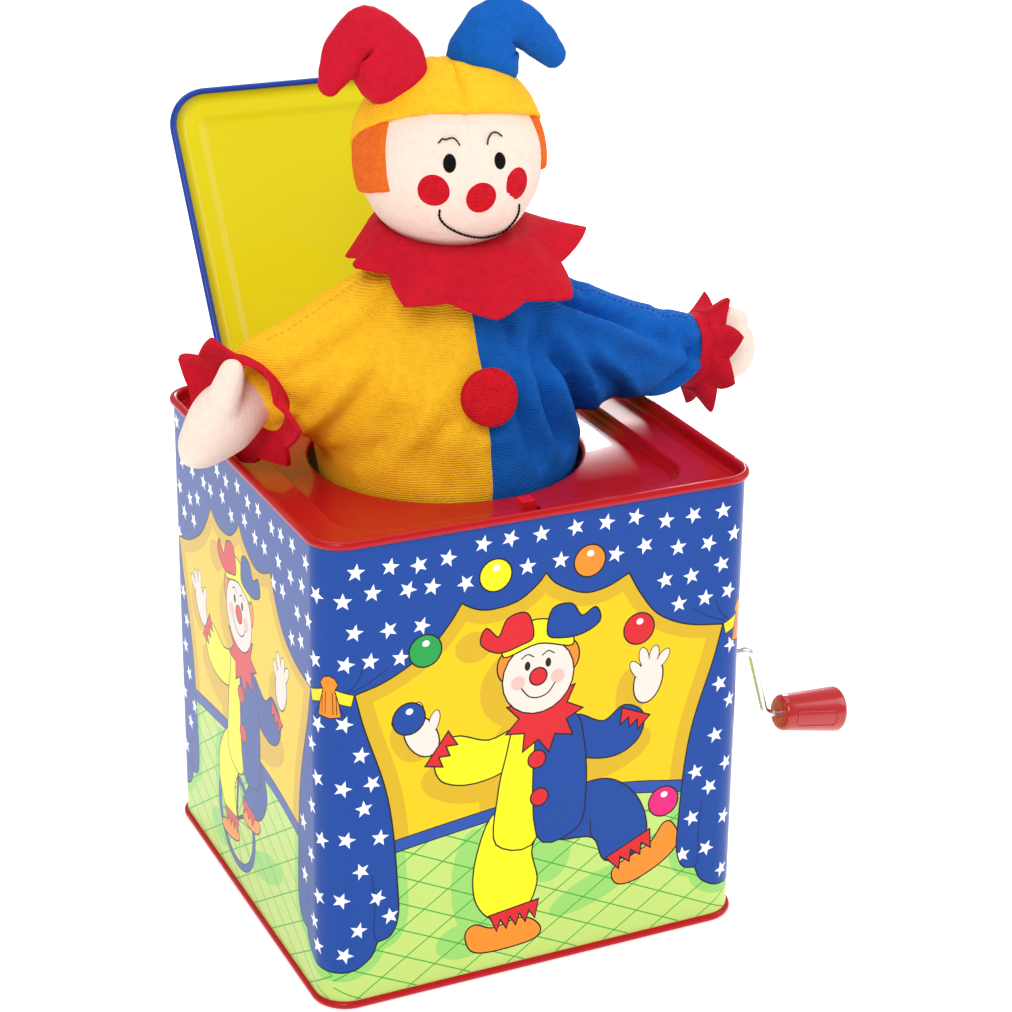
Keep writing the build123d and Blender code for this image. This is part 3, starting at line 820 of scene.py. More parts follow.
knob = {"start": (107.65216, -28.0, 44.29629), "run": (0.9908, 0.0, -0.13533), "long": 23.0, "inner": 6.0,
        "outer": 7.8, "around": 64}


def makeKnob():
    along = Vector(knob["run"]).normalized()
    side = Vector((0, 1, 0))
    up = side.cross(along) * -1
    start = Vector(knob["start"])
    count = knob["around"]

    def at(s, r, a):
        return tuple(start + along * s + (side * math.cos(a) + up * math.sin(a)) * r)

    slope = (knob["outer"] - knob["inner"]) / knob["long"]
    profile = [(0.0, 2.0), (0.0, 4.6), (0.12, 5.1), (0.5, 5.7), (1.3, 6.05)]
    profile += [(s, knob["inner"] + slope * s) for s in np.linspace(2.2, 21.2, 12)]
    profile += [(22.0, 7.62), (22.6, 7.3), (22.92, 6.7), (23.0, 6.0), (23.0, 2.5)]
    rings = [[at(s, r, 2 * math.pi * k / count) for k in range(count)] for s, r in profile]
    body = closedPiece("knobBody", rings, "knob", "knob_plastic")
    # a raised outline in the shape of a pill on the side that faces the front
    ridge = []
    for k in range(72):
        t = 2 * math.pi * k / 72
        s = 11.5 + 6.2 * (1 if math.cos(t) > 0 else -1) * min(1, abs(math.cos(t)) * 1.5) + 1.2 * math.cos(t)
        w = 2.7 * math.copysign(min(1, abs(math.sin(t)) * 1.25), math.sin(t))
        r = knob["inner"] + slope * s
        ridge.append((s, r, math.pi + w / r))
    tube = []
    for s, r, a in ridge:
        tube.append([at(s + 0.28 * math.cos(b), r + 0.3 * math.sin(b), a + 0.28 * math.cos(b) / r)
                     for b in oneTurn(8)])
    outline = buildMesh("knobOutline", [q for ring in tube for q in ring], ringFaces(len(tube), 8, loop=True),
                        "knob", "knob_plastic")
    outward(outline, merge=True)
    return body


knobPiece = makeKnob()
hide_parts("crank_knob")


print("stage: spring")
spring = {"radius": 24.5, "wire": 1.1, "turns": 8, "low": 2.9, "high": 181.9, "y": 3.0, "anchor": 1.8}


def makeSpring():
    count = spring["turns"] * 40
    rows = []
    for k in range(count + 1):
        t = k / count
        rise = min(1, max(0, (t - 0.06) / 0.88))
        a = t * 2 * math.pi * spring["turns"]
        rows.append((spring["radius"] * math.cos(a), spring["y"] + spring["radius"] * math.sin(a),
                     spring["low"] + (spring["high"] - spring["low"]) * rise, spring["wire"], spring["wire"]))
    return closedPiece("springCoil", tubeRings(np.array(rows), 10, (0, 0, 1)), "root", "spring_steel")


coil = makeSpring()
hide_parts("main_spring")
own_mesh(coil)


print("stage: doll's head")
head = {"middle": (0.5, 2.5, 238.5), "radii": (27.8, 28.5, 28.0), "turn": -6.0}
capEdge = ([-180, -140, -115, -91, -77, -65, -51, -34.5, -18, -1.5, 16, 36, 56, 75, 91, 115, 140, 180],
           [-26, -20, 4, 19, 26, 32, 37, 40.5, 41.5, 41, 40, 37, 32, 25, 17, 2, -20, -26])


def headPoint(az, el, lift=0.0):
    a, e = math.radians(az + head["turn"]), math.radians(el)
    d = np.array([math.sin(a) * math.cos(e), -math.cos(a) * math.cos(e), math.sin(e)])
    radii = np.array(head["radii"])
    n = d / radii
    return np.array(head["middle"]) + d * radii + n / np.linalg.norm(n) * lift


def wrapped(angle):
    return (angle + 180) % 360 - 180


def makeHead():
    rings = []
    for el in np.linspace(-88, 88, 64):
        ring = []
        for az in np.linspace(-180, 180, 144, endpoint=False):
            seam = -0.55 * math.exp(-((az + 5.6) / 1.6) ** 2) * min(1, max(0, (el - 14) / 12))
            cheeks = 0.7 * math.exp(-((abs(az) - 26) / 18) ** 2 - ((el + 10) / 16) ** 2)
            chin = -0.3 * math.exp(-((el + 58) / 12) ** 2) * (1 if abs(az) < 80 else 0.4)
            soft = 0.35 * noise.noise(Vector((az * 0.03, el * 0.05, 3.1)))
            ring.append(headPoint(az, el, seam + cheeks + chin + soft))
        rings.append(ring)
    return closedPiece("face", rings, "doll", "plush_cream")


def surfacePatch(name, az, el, wideAz, wideEl, lift, slotName, finish=None):
    rings = []
    for t in (1.06, 1.0, 0.9, 0.75, 0.55, 0.35, 0.15):
        high = lift * math.sqrt(max(0, 1 - t ** 4)) if t < 1 else -0.5 * (t > 1)
        rings.append([headPoint(az + wideAz * t * math.cos(b), el + wideEl * t * math.sin(b), high + 0.05)
                      for b in oneTurn(40)])
    points, faces = cappedRings(rings)
    return buildMesh(name, points, faces[:-80] + faces[-40:], "doll", slotName, [finish or finishes[slotName]])


def makeCap():
    rings = []
    for lift, back in ((-0.6, 1.0), (0.9, 0.2), (1.9, 0.0), (2.35, 0.8), (2.3, 2.5)):
        rings.append([headPoint(az, np.interp(az, *capEdge) + back, lift) for az in np.arange(-180, 180, 2.5)])
    for t in np.linspace(0.06, 0.985, 40):
        ring = []
        for az in np.arange(-180, 180, 2.5):
            edge = np.interp(az, *capEdge) + 2.5
            groove = -1.3 * sum(math.exp(-(wrapped(az + seam) / 2.4) ** 2) for seam in (5.6, 185.6))
            puff = 0.9 * math.sin(math.pi * min(1, t * 1.2)) * abs(math.sin(math.radians(az + 5.6))) ** 0.5
            el = edge + (90 - edge) * t
            soft = 0.5 * noise.noise(Vector((az * 0.045, el * 0.09, 8.7)))
            ring.append(headPoint(az, el, 2.3 + groove * (1 - t) ** 0.3 + puff + soft))
        rings.append(ring)
    return closedPiece("cap", rings, "doll", "velour_yellow")


def shellPatch(name, low, high, fromEl, toEl, lift, slotName):
    # a thick patch on the head between two side lines, thin at its rim
    rows, count = 24, 40
    top, under = [], []
    for t in np.linspace(0, 1, rows):
        for s in np.linspace(0, 1, count):
            az = low(t) + (high(t) - low(t)) * s
            el = fromEl(s) + (toEl(s) - fromEl(s)) * t
            edge = min(s, 1 - s, t, 1 - t) * 12
            soft = 0.3 * noise.noise(Vector((az * 0.2, el * 0.02, 1)))
            top.append(headPoint(az, el, lift * min(1, edge) ** 0.5 + soft))
            under.append(headPoint(az, el, -0.8))
    back = len(top)
    faces = ringFaces(rows, count, closed=False)
    faces += [tuple(back + i for i in reversed(f)) for f in faces]
    last = rows - 1
    border = list(range(count)) + [i * count + count - 1 for i in range(1, rows)]
    border += [last * count + k for k in range(count - 2, -1, -1)] + [i * count for i in range(last - 1, 0, -1)]
    for a, b in zip(border, border[1:] + border[:1]):
        faces.append((b, a, back + a, back + b))
    piece = buildMesh(name, top + under, faces, "doll", slotName)
    outward(piece)
    return piece


face = makeHead()
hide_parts("head")
cap = makeCap()
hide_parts("hat_cap")
hairLeft = shellPatch("hairLeft", lambda t: -112, lambda t: -66 + 9 * t,
                      lambda s: 24 + 8 * s, lambda s: -25 + 15 * s, 1.5, "felt_orange")
hairRight = shellPatch("hairRight", lambda t: 63 - 2 * t, lambda t: 108,
                      lambda s: 31 - 10 * s, lambda s: -4 - 16 * s, 1.5, "felt_orange")
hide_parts("hair_left")
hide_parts("hair_right")
for name, place in (("eyeLeft", (-18.1, 11.3, 4.0, 5.7)), ("eyeRight", (14.2, 10.9, 4.2, 5.4))):
    surfacePatch(name, *place, 0.55, "thread_red", eyeBlack)
for name, place in (("cheekLeft", (-27.6, -5.9, 10.8, 11.0)), ("cheekRight", (26.4, -5.9, 11.0, 11.6)),
                    ("nose", (2.1, -10.8, 10.1, 10.1))):
    surfacePatch(name, *place, 0.7, "thread_red")

print("stage: horns and hands")
horns = {
    "red": [(-14, 3, 259, 8.0), (-17.5, 3, 265.5, 11.0), (-21, 3, 272, 10.6), (-26, 3, 277.5, 8.6), (-31, 3, 275, 7.0),
            (-34.8, 3, 269, 5.6), (-37.3, 3, 264, 3.6)],
    "blue": [(9, 3, 259, 8.0), (11.5, 3, 266, 11.0), (12, 3, 271.5, 10.4), (15.5, 3, 277.4, 8.4), (22, 3, 278, 6.8),
             (29, 3, 272.5, 5.8), (34.5, 3, 267, 4.2)],
}


def softTube(name, rows, seed, body, slotName, wrinkle=0.9, deep=0.92, around=56, count=60):
    spine = splinePoints([(x, y, z, r * deep, r) for x, y, z, r in rows], count)
    tip = spine[-1].copy()
    ahead = spine[-1, :3] - spine[-4, :3]
    ahead /= np.linalg.norm(ahead)
    caps = []
    for t in (0.5, 0.8, 0.97):
        row = tip.copy()
        row[:3] += ahead * tip[4] * t
        row[3:] *= math.sqrt(1 - t * t)
        caps.append(row)
    spine = np.vstack([spine, caps])
    rings = tubeRings(spine, around)
    for i, ring in enumerate(rings):
        centre = spine[i, :3]
        for k, q in enumerate(ring):
            push = noise.noise(Vector(q) * 0.11 + Vector((seed, 0, 0)))
            push += 0.5 * noise.noise(Vector(q) * 0.27 + Vector((seed, 5, 0)))
            away = (q - centre) / max(1e-6, np.linalg.norm(q - centre))
            ring[k] = q + away * push * wrinkle * min(1, spine[i, 4] / 6)
    return closedPiece(name, rings, body, slotName)


hornRed = softTube("hornRed", horns["red"], 3, "doll", "velour_red")
hornBlue = softTube("hornBlue", horns["blue"], 9, "doll", "velour_blue")
for piece, node in ((hornRed, "horn_left"), (hornBlue, "horn_right")):
    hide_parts(node)


def mergedSoft(name, ringLists, grain, smoothing, body, slotName, materials=None):
    # closed parts that overlap, melted into one soft form
    piece = buildMesh(name, *mergedRings(ringLists), body, slotName, materials)
    outward(piece)
    melt = piece.modifiers.new("melt", "REMESH")
    melt.mode = "VOXEL"
    melt.voxel_size = grain * mm
    ease = piece.modifiers.new("ease", "SMOOTH")
    ease.factor = 0.5
    ease.iterations = smoothing
    settleModifiers(piece)
    return piece


def roundEnds(rows, count=24):
    # a soft finger: the given rows with the far end drawn in
    spine = splinePoints(rows, count)
    shade = np.linspace(0, 1, count)
    ease = np.sqrt(np.clip(1 - np.clip((shade - 0.86) / 0.14, 0, 0.985) ** 2, 0, 1))
    spine[:, 3] *= ease
    spine[:, 4] *= ease
    return spine


mittens = {
    # the palm, then the thumb
    "left": ([(-62, 1, 172.5, 7, 7.5), (-69, -2, 170.5, 8.5, 10), (-76, -5, 167.5, 8.5, 11), (-83, -8, 163, 6.5, 8.5),
              (-90, -10.5, 158, 3.6, 4.2)],
             [(-77, -6, 168, 6, 6), (-76.5, -9, 176, 5.6, 5.2), (-75, -11, 183, 4.6, 4.2), (-74, -11, 189, 3.2, 3.0)]),
    "right": ([(86, 3, 165.8, 6.5, 7), (92, 2, 165, 8.5, 10.5), (99, 1, 164.5, 8.6, 10.8), (107.5, 1, 163, 6, 6.8)],
              [(95, 0, 167, 6, 6), (98, -2, 174, 5.4, 5.4), (100.5, -2.5, 179.5, 4.2, 4.2)]),
    "around": 28, "grain": 1.1, "smoothing": 6,
}


def makeHand(name, key):
    parts = [tubeRings(roundEnds(rows), mittens["around"]) for rows in mittens[key]]
    return mergedSoft(name, parts, mittens["grain"], mittens["smoothing"], key + "_arm", "plush_cream")


leftHand = makeHand("handLeft", "left")
rightHand = makeHand("handRight", "right")
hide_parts("hand_left")
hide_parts("hand_right")

print("stage: felt collar and cuffs")


def feltRuff(name, middle, axis, first, ruff, body, slotName):
    # a pointed frill round an axis: it rises to a crest, then falls to a zigzag edge
    axis = np.array(axis, float) / np.linalg.norm(axis)
    first = np.array(first, float) - axis * np.dot(first, axis)
    first /= np.linalg.norm(first)
    second = np.cross(axis, first)
    across, deep = 252, 18
    grid = np.zeros((deep + 1, across, 3))
    edge = sorted(ruff["edge"])
    angles, radii = [e[0] for e in edge], [e[1] for e in edge]
    for k in range(across):
        turn = -180 + 360 * k / across
        a = math.radians(turn)
        sway = noise.noise(Vector((math.cos(a) * 1.7, math.sin(a) * 1.7, ruff["seed"])))
        reach = np.interp(turn, angles, radii, period=360) * (1 + 0.05 * sway)
        low = np.interp(turn, ruff["fallAt"], ruff["fall"], period=360)
        crest = ruff["crest"] - ruff["dip"] * max(0, math.cos(a))
        point = np.interp(turn, angles, [1 if i % 2 == 0 else -1 for i in range(len(edge))], period=360)
        for j in range(deep + 1):
            t = j / deep
            r = np.interp(t, (0, 0.4, 1), (ruff["inner"], ruff["mid"], reach))
            if t < 0.4:
                z = crest * math.sin(t / 0.4 * math.pi / 2)
            else:
                z = crest + (low - crest) * ((t - 0.4) / 0.6) ** ruff["curve"]
            z += ruff["wave"] * t ** 1.3 * (point * 0.8 + 1.5 * sway)
            grid[j, k] = np.array(middle) + first * r * math.cos(a) + second * r * math.sin(a) + axis * z
    du = np.roll(grid, -1, axis=1) - np.roll(grid, 1, axis=1)
    dv = np.gradient(grid, axis=0)
    n = np.cross(du, dv)
    n /= np.linalg.norm(n, axis=2)[:, :, None]
    half = ruff["thick"] / 2
    rings = [grid[j] + n[j] * half for j in range(deep + 1)] + [grid[j] - n[j] * half for j in range(deep, -1, -1)]
    points = [q for ring in rings for q in ring]
    piece = buildMesh(name, points, ringFaces(len(rings), across, loop=True), body, slotName)
    outward(piece)
    piece.data.set_sharp_from_angle(angle=math.radians(60))
    area = np.linalg.norm(du, axis=2) / 2 * np.linalg.norm(dv, axis=2)
    return piece, float(area[:-1].sum())


def evenEdge(tips, tip, valley, start):
    return [(((start + k * 180 / tips + 180) % 360) - 180, tip if k % 2 == 0 else valley) for k in range(2 * tips)]


collarShape = {
    "edge": [(-115, 31), (-95, 26), (-75, 36), (-61, 29), (-44, 38.5), (-24, 31), (-3, 39), (15, 35), (33, 43),
             (57, 35),
             (83, 43.5), (104, 31), (125, 36), (145, 28), (165, 33), (-175, 26), (-155, 31), (-135, 25)],
    "inner": 14.0, "mid": 24.0, "crest": 3.0, "dip": 4.0, "fallAt": [-155, -115, -75, -44, 0, 33, 60, 83, 125, 165],
    "fall": [-11, -9, -4.5, -12, -16, -13.5, -8, -2.5, -8, -11], "curve": 1.0, "wave": 0.9, "thick": 1.2, "seed": 2.2}
collar, collarArea = feltRuff("ruffCollar", (1, 3.0, 215.5), (0, 0, 1), (0, -1, 0), collarShape, "doll", "felt_red")
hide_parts("collar")
cuffShape = {
    "edge": evenEdge(7, 24.0, 19.0, 8), "inner": 12.5, "mid": 15.0, "crest": 3.5, "dip": 0, "fallAt": [0],
    "fall": [8.5], "curve": 1.0, "wave": 0.7, "thick": 1.2, "seed": 6.2}
smallCuffShape = dict(cuffShape, edge=evenEdge(8, 20.0, 14.0, 14), inner=10.5, mid=12.5, seed=4.4)
leftCuff, leftArea = feltRuff("cuffLeft", (-62.5, 2, 172.9), (-0.84, -0.42, -0.33), (0, 0, 1), cuffShape,
                              "left_arm", "felt_red")
rightCuff, rightArea = feltRuff("cuffRight", (84.2, 3, 166.0), (0.97, 0, -0.22), (0, 0, 1), smallCuffShape,
                                "right_arm", "felt_red")
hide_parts("cuff_left")
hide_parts("cuff_right")

print("stage: garment")
garment = {
    "torso": [(8, 36, 36), (60, 37.5, 37.5), (120, 39, 38.5), (140, 40.5, 39), (150, 41.5, 39.5), (162, 40, 37),
              (175, 36.5, 33.5), (186, 32.5, 28.5), (197, 27.5, 23), (207, 19, 16), (214, 15, 13.5)],
    "left": [(-12, 3, 184, 20, 25), (-25, 3, 180, 21, 26), (-38, 3, 176.5, 18, 23.5), (-50, 3, 174.8, 15.5, 19.8),
             (-60, 3, 174, 13.5, 15.6), (-66, 3, 172.3, 12.5, 13.6)],
    "right": [(12, 3, 184, 20, 25), (25, 3, 178, 21, 26), (40, 3, 174, 18, 23), (55, 3, 171, 15, 19),
              (70, 3, 168, 13, 15.6),
              (82, 3, 166.2, 11.5, 12.6), (88, 3, 165.5, 11, 11.8)],
    "grain": 3.4, "smoothing": 10, "middleY": 3, "seamX": -1.5, "splitX": 33.0, "deepRight": 1.4, "deepLeft": 1.15,
}
drapeSettings = {
    "quality": 6, "mass": 0.15, "vertex_group_mass": "held", "tension_stiffness": 12, "compression_stiffness": 12,
    "shear_stiffness": 6, "bending_stiffness": 0.6, "shrink_min": -0.025, "use_pressure": True,
    "uniform_pressure_force": 3.5,
}
drapeLimits = {"frames": 18, "gravity": 0.1, "furthest": 5.0, "inwards": 1.2}
foldLines = [
    # from, to, depth, width: creases in the front of the cloth, seen as x and z
    ((14, 206), (62, 178), 3.0, 3.0), ((18, 198), (84, 167), 2.4, 2.6), ((46, 150), (20, 190), 3.6, 3.4),
    ((60, 153), (38, 180), 2.6, 2.6), ((31, 148), (18, 186), 3.2, 3.0), ((17, 147), (10, 182), 2.4, 2.8),
    ((66, 155), (88, 170), 1.6, 2.0), ((-14, 206), (-60, 180), 1.8, 3.0), ((-48, 153), (-24, 190), 2.4, 3.6),
    ((-36, 148), (-20, 178), 1.6, 3.0), ((-60, 160), (-40, 182), 1.6, 2.4), ((4, 208), (8, 184), 2.0, 2.4),
    ((-6, 207), (-14, 184), 1.2, 2.6), ((24, 204), (48, 191), 1.8, 2.0), ((-20, 148), (-12, 168), 1.0, 2.6),
    ((70, 182), (86, 164), 1.4, 1.8), ((-66, 184), (-54, 166), 1.2, 2.0),
]


def makeGarmentShape():
    parts = [[[(rx * math.cos(a), garment["middleY"] + ry * math.sin(a), z) for a in oneTurn(56)]
              for z, rx, ry in splinePoints(garment["torso"], 60)]]
    parts += [tubeRings(splinePoints(garment[key], 40), 40) for key in ("left", "right")]
    yellow = [finishes["velour_yellow"]]
    return mergedSoft("garment", parts, garment["grain"], garment["smoothing"], None, None, yellow)


def pinned(co):
    # the hem in the box, the neck and both wrists are held; the rest of the cloth moves
    x, z = co[0] / mm, co[2] / mm
    hold = 1.0 if z < 120 or z > 209 else 0.0
    hold = max(hold, min(1, max(0, (abs(x) - (58 if x < 0 else 80)) / 5)))
    return max(hold, min(1, max(0, (146 - z) / 10)))


def drapeGarment(piece):
    group = piece.vertex_groups.new(name="held")
    for v in piece.data.vertices:
        group.add([v.index], pinned(v.co), "REPLACE")
    start = np.array([v.co for v in piece.data.vertices])
    drape = piece.modifiers.new("drape", "CLOTH")
    for key, value in drapeSettings.items():
        setattr(drape.settings, key, value)
    drape.settings.effector_weights.gravity = drapeLimits["gravity"]
    drape.collision_settings.use_collision = False
    drape.collision_settings.use_self_collision = False
    last = drapeLimits["frames"]
    drape.point_cache.frame_start, drape.point_cache.frame_end = 1, last
    scene = bpy.context.scene
    scene.frame_start, scene.frame_end = 1, last
    for step in range(1, last + 1):
        scene.frame_set(step)
    graph = bpy.context.evaluated_depsgraph_get()
    done = bpy.data.meshes.new_from_object(piece.evaluated_get(graph))
    moved = np.array([v.co for v in done.vertices])
    piece.modifiers.clear()
    scene.frame_set(1)
    step = moved - start
    size = np.linalg.norm(step, axis=1)
    step *= (np.minimum(size, drapeLimits["furthest"] * mm) / np.maximum(size, 1e-9))[:, None]
    normal = np.array([v.normal for v in piece.data.vertices])
    inwards = np.minimum(0, (step * normal).sum(axis=1) + drapeLimits["inwards"] * mm)
    step -= normal * inwards[:, None]  # the wadding inside keeps the cloth from sinking further
    piece.data.vertices.foreach_set("co", (start + step).ravel())
    piece.data.update()
    print("garment settled, largest move", round(float(size.max()) / mm, 2), "mm")


def creaseGarment(piece):
    calm = piece.modifiers.new("calm", "SMOOTH")
    calm.factor = 0.5
    calm.iterations = 3
    finer = piece.modifiers.new("finer", "SUBSURF")
    finer.levels = finer.render_levels = 1
    settleModifiers(piece)
    mesh = piece.data
    co = np.array([v.co for v in mesh.vertices]) / mm
    normal = np.array([v.normal for v in mesh.vertices])
    push = np.zeros(len(co))
    front = np.clip((8 - co[:, 1]) / 10, 0, 1)
    for (x0, z0), (x1, z1), deep, wide in foldLines:
        d = np.array([x1 - x0, z1 - z0])
        t = ((co[:, 0] - x0) * d[0] + (co[:, 2] - z0) * d[1]) / (d @ d)
        off = ((co[:, 0] - x0) * d[1] - (co[:, 2] - z0) * d[0]) / math.sqrt(d @ d)
        off += 1.2 * np.sin(t * 5 + x0)
        fade = np.clip(1 - (2 * t - 1) ** 4, 0, 1) * (t > 0) * (t < 1)
        ridge, valley = np.exp(-((off - wide) / wide) ** 2), np.exp(-((off + wide * 0.4) / wide) ** 2)
        push += deep * garment["deepRight" if x0 > 0 else "deepLeft"] * fade * front * (ridge * 0.8 - valley)
    seam = garment["seamX"]
    above = np.clip((co[:, 2] - 120) / 10, 0, 1)
    onTop = np.clip(normal[:, 2] * 3 - 0.6, 0, 1) * (np.abs(co[:, 0]) > 14)
    push += 0.8 * onTop * np.exp(-((co[:, 1] - 3) / 1.2) ** 2)
    push -= 1.1 * np.exp(-((co[:, 0] - seam) / 1.1) ** 2) * above
    for i, c in enumerate(co):
        push[i] += 0.5 * noise.noise(Vector(c) * 0.05) + 0.1 * noise.noise(Vector(c) * 0.16)
    co += normal * push[:, None]
    mesh.vertices.foreach_set("co", (co * mm).ravel())
    mesh.update()


def seamLine(piece, low, high, count=50):
    # a line along the top of the shoulder, just in front of its ridge
    tree = BVHTree.FromObject(piece, bpy.context.evaluated_depsgraph_get())
    line = []
    for x in np.linspace(low, high, count):
        place, turn = tree.ray_cast(Vector((x * mm, -0.2 * mm, 0.24)), Vector((0, 0, -1)))[:2]
        if place is not None:
            line.append(tuple(c / mm for c in place + turn * 0.12 * mm))
    return line


def splitGarment(piece):
    shape = bmesh.new()
    shape.from_mesh(piece.data)
    for x in (garment["seamX"], -garment["splitX"], garment["splitX"]):
        bmesh.ops.bisect_plane(shape, geom=shape.verts[:] + shape.edges[:] + shape.faces[:], dist=1e-6,
                               plane_co=(x * mm, 0, 0), plane_no=(1, 0, 0))
    shape.normal_update()
    shape.verts.index_update()
    places = [(v.co.copy(), v.normal.copy()) for v in shape.verts]
    parts = {"torso": [], "sleeveLeft": [], "sleeveRight": []}
    for f in shape.faces:
        x, z = f.calc_center_median().x / mm, f.calc_center_median().z / mm
        key = "torso" if abs(x) < garment["splitX"] or z < 149 else "sleeveLeft" if x < 0 else "sleeveRight"
        parts[key].append([v.index for v in f.verts])
    pieces = []
    for key, loops in parts.items():
        used = sorted({i for loop in loops for i in loop})
        index = {old: new for new, old in enumerate(used)}
        mesh = bpy.data.meshes.new(key)
        mesh.from_pydata([tuple(places[i][0]) for i in used], [], [tuple(index[i] for i in loop) for loop in loops])
        mesh.shade_smooth()
        mesh.normals_split_custom_set_from_vertices([tuple(places[i][1]) for i in used])
        part = newPiece(key, mesh)
        mesh.materials.append(finishes["velour_blue" if key == "sleeveRight" else "velour_yellow"])
        if key == "torso":
            mesh.materials.append(finishes["velour_blue"])
            for polygon in mesh.polygons:
                polygon.material_index = 1 if polygon.center.x / mm > garment["seamX"] else 0
        pieces.append(part)
    shape.free()
    bpy.data.objects.remove(piece)
    return pieces


def foldFlat(piece):
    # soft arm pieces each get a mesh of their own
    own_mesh(piece)


for piece, arm, keep in ((leftHand, "left_arm", 0.5), (rightHand, "right_arm", 0.5),
                         (leftCuff, "left_arm", 0.15), (rightCuff, "right_arm", 0.15)):
    foldFlat(piece)
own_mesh(collar)
clothes = makeGarmentShape()
drapeGarment(clothes)
creaseGarment(clothes)
seams = {key: seamLine(clothes, *span) for key, span in (
    ("torsoLeft", (-33, -17)), ("torsoRight", (17, 33)), ("armLeft", (-59, -33.5)), ("armRight", (33.5, 82)))}
torso, sleeveLeft, sleeveRight = splitGarment(clothes)
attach(torso, "root")
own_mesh(torso)
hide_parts("body_cloth")
for piece, arm, node, slotName in ((sleeveLeft, "left_arm", "sleeve_left", "velour_yellow"),
                                   (sleeveRight, "right_arm", "sleeve_right", "velour_blue")):
    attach(piece, arm)
    foldFlat(piece)
    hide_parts(node)


buttonShape = {"centre": (-2.0, -35.0, 174.5), "tilt": 14, "radius": 8.6, "bow": 0.9}


def makeButton():
    rings = []
    centre, radius = np.array(buttonShape["centre"]), buttonShape["radius"]
    tilt = math.radians(buttonShape["tilt"])
    across, up = np.array([1.0, 0.0, 0.0]), np.array([0.0, math.sin(tilt), math.cos(tilt)])
    ahead = np.cross(across, up) * -1
    ahead = ahead if ahead[1] < 0 else -ahead
    for t, high in ((1.0, -2.5), (1.03, -0.2), (1.02, 0.5), (0.96, 0.9), (0.8, 1.25), (0.5, 1.55), (0.2, 1.65)):
        rings.append([centre + across * radius * t * math.cos(b) + up * radius * t * math.sin(b)
                      + ahead * (high - buttonShape["bow"] * (t * math.cos(b)) ** 2) for b in oneTurn(56)])
    return closedPiece("chestButton", rings, "doll", "thread_red")


def makePadding():
    # the wadding under the cloth, closed at both ends
    rows = [(186.3, 21), (190, 22), (196, 20), (202, 15), (208, 11), (210.5, 8)]
    rings = [[(r * math.cos(a), 3 + r * 0.85 * math.sin(a), z) for a in oneTurn(48)] for z, r in rows]
    return closedPiece("chestWadding", rings, "doll", "stuffing")


wadding = makePadding()
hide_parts("chest_padding")
button = makeButton()
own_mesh(button)
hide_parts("button")

print("stage: stitches")
stitchWork = {"seed": 4, "shortest": 0.85, "longest": 1.12, "segments": 10, "rings": 6}


def stitchGroup():
    group = bpy.data.node_groups.new("stitchRun", "GeometryNodeTree")
    face = group.interface
    face.new_socket("Geometry", in_out="INPUT", socket_type="NodeSocketGeometry")
    ids = {}
    for key, label, kind in (("pitch", "Pitch", "Float"), ("long", "Stitch length", "Float"),
                             ("thick", "Stitch radius", "Float"), ("finish", "Finish", "Material")):
        ids[key] = face.new_socket(label, in_out="INPUT", socket_type="NodeSocket" + kind).identifier
    face.new_socket("Geometry", in_out="OUTPUT", socket_type="NodeSocketGeometry")
    n = group.nodes
    source, result = n.new("NodeGroupInput"), n.new("NodeGroupOutput")
    resample = n.new("GeometryNodeResampleCurve")
    resample.mode = "LENGTH"
    points = n.new("GeometryNodeInstanceOnPoints")
    ball = n.new("GeometryNodeMeshUVSphere")
    ball.inputs["Segments"].default_value = stitchWork["segments"]
    ball.inputs["Rings"].default_value = stitchWork["rings"]
    ball.inputs["Radius"].default_value = 1.0
    tangent = n.new("GeometryNodeInputTangent")
    align = n.new("FunctionNodeAlignRotationToVector")
    align.axis = "X"
    size = n.new("ShaderNodeCombineXYZ")
    chance = n.new("FunctionNodeRandomValue")
    chance.data_type = "FLOAT"
    chance.inputs[2].default_value = stitchWork["shortest"]
    chance.inputs[3].default_value = stitchWork["longest"]
    chance.inputs["Seed"].default_value = stitchWork["seed"]
    times = n.new("ShaderNodeMath")
    times.operation = "MULTIPLY"
    realize, paint = n.new("GeometryNodeRealizeInstances"), n.new("GeometryNodeSetMaterial")
    for a, out, b, into in (
            (source, "Geometry", resample, "Curve"), (source, "Pitch", resample, "Length"),
            (resample, "Curve", points, "Points"), (ball, "Mesh", points, "Instance"),
            (tangent, "Tangent", align, "Vector"), (align, "Rotation", points, "Rotation"),
            (source, "Stitch length", times, 0), (chance, 1, times, 1), (times, 0, size, "X"),
            (source, "Stitch radius", size, "Y"), (source, "Stitch radius", size, "Z"),
            (size, "Vector", points, "Scale"), (points, "Instances", realize, "Geometry"),
            (realize, "Geometry", paint, "Geometry"), (source, "Finish", paint, "Material"),
            (paint, "Geometry", result, "Geometry")):
        group.links.new(a.outputs[out], b.inputs[into])
    return group, ids


stitches, stitchIds = stitchGroup()


def stitchLine(name, lines, pitch, longness, thick, finish, body):
    curve = bpy.data.curves.new(name, "CURVE")
    curve.dimensions = "3D"
    for line in lines:
        spline = curve.splines.new("POLY")
        spline.points.add(len(line) - 1)
        for point, q in zip(spline.points, line):
            point.co = (q[0] * mm, q[1] * mm, q[2] * mm, 1)
    guide = newPiece(name + "Guide", curve)
    work = guide.modifiers.new("stitches", "NODES")
    work.node_group = stitches
    work[stitchIds["pitch"]] = pitch * mm
    work[stitchIds["long"]] = longness * mm / 2
    work[stitchIds["thick"]] = thick * mm
    work[stitchIds["finish"]] = finish
    bpy.context.view_layer.update()
    mesh = bpy.data.meshes.new_from_object(guide.evaluated_get(bpy.context.evaluated_depsgraph_get()))
    piece = newPiece(name, mesh)
    bpy.data.objects.remove(guide)
    mesh.shade_smooth()
    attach(piece, body)
    return piece


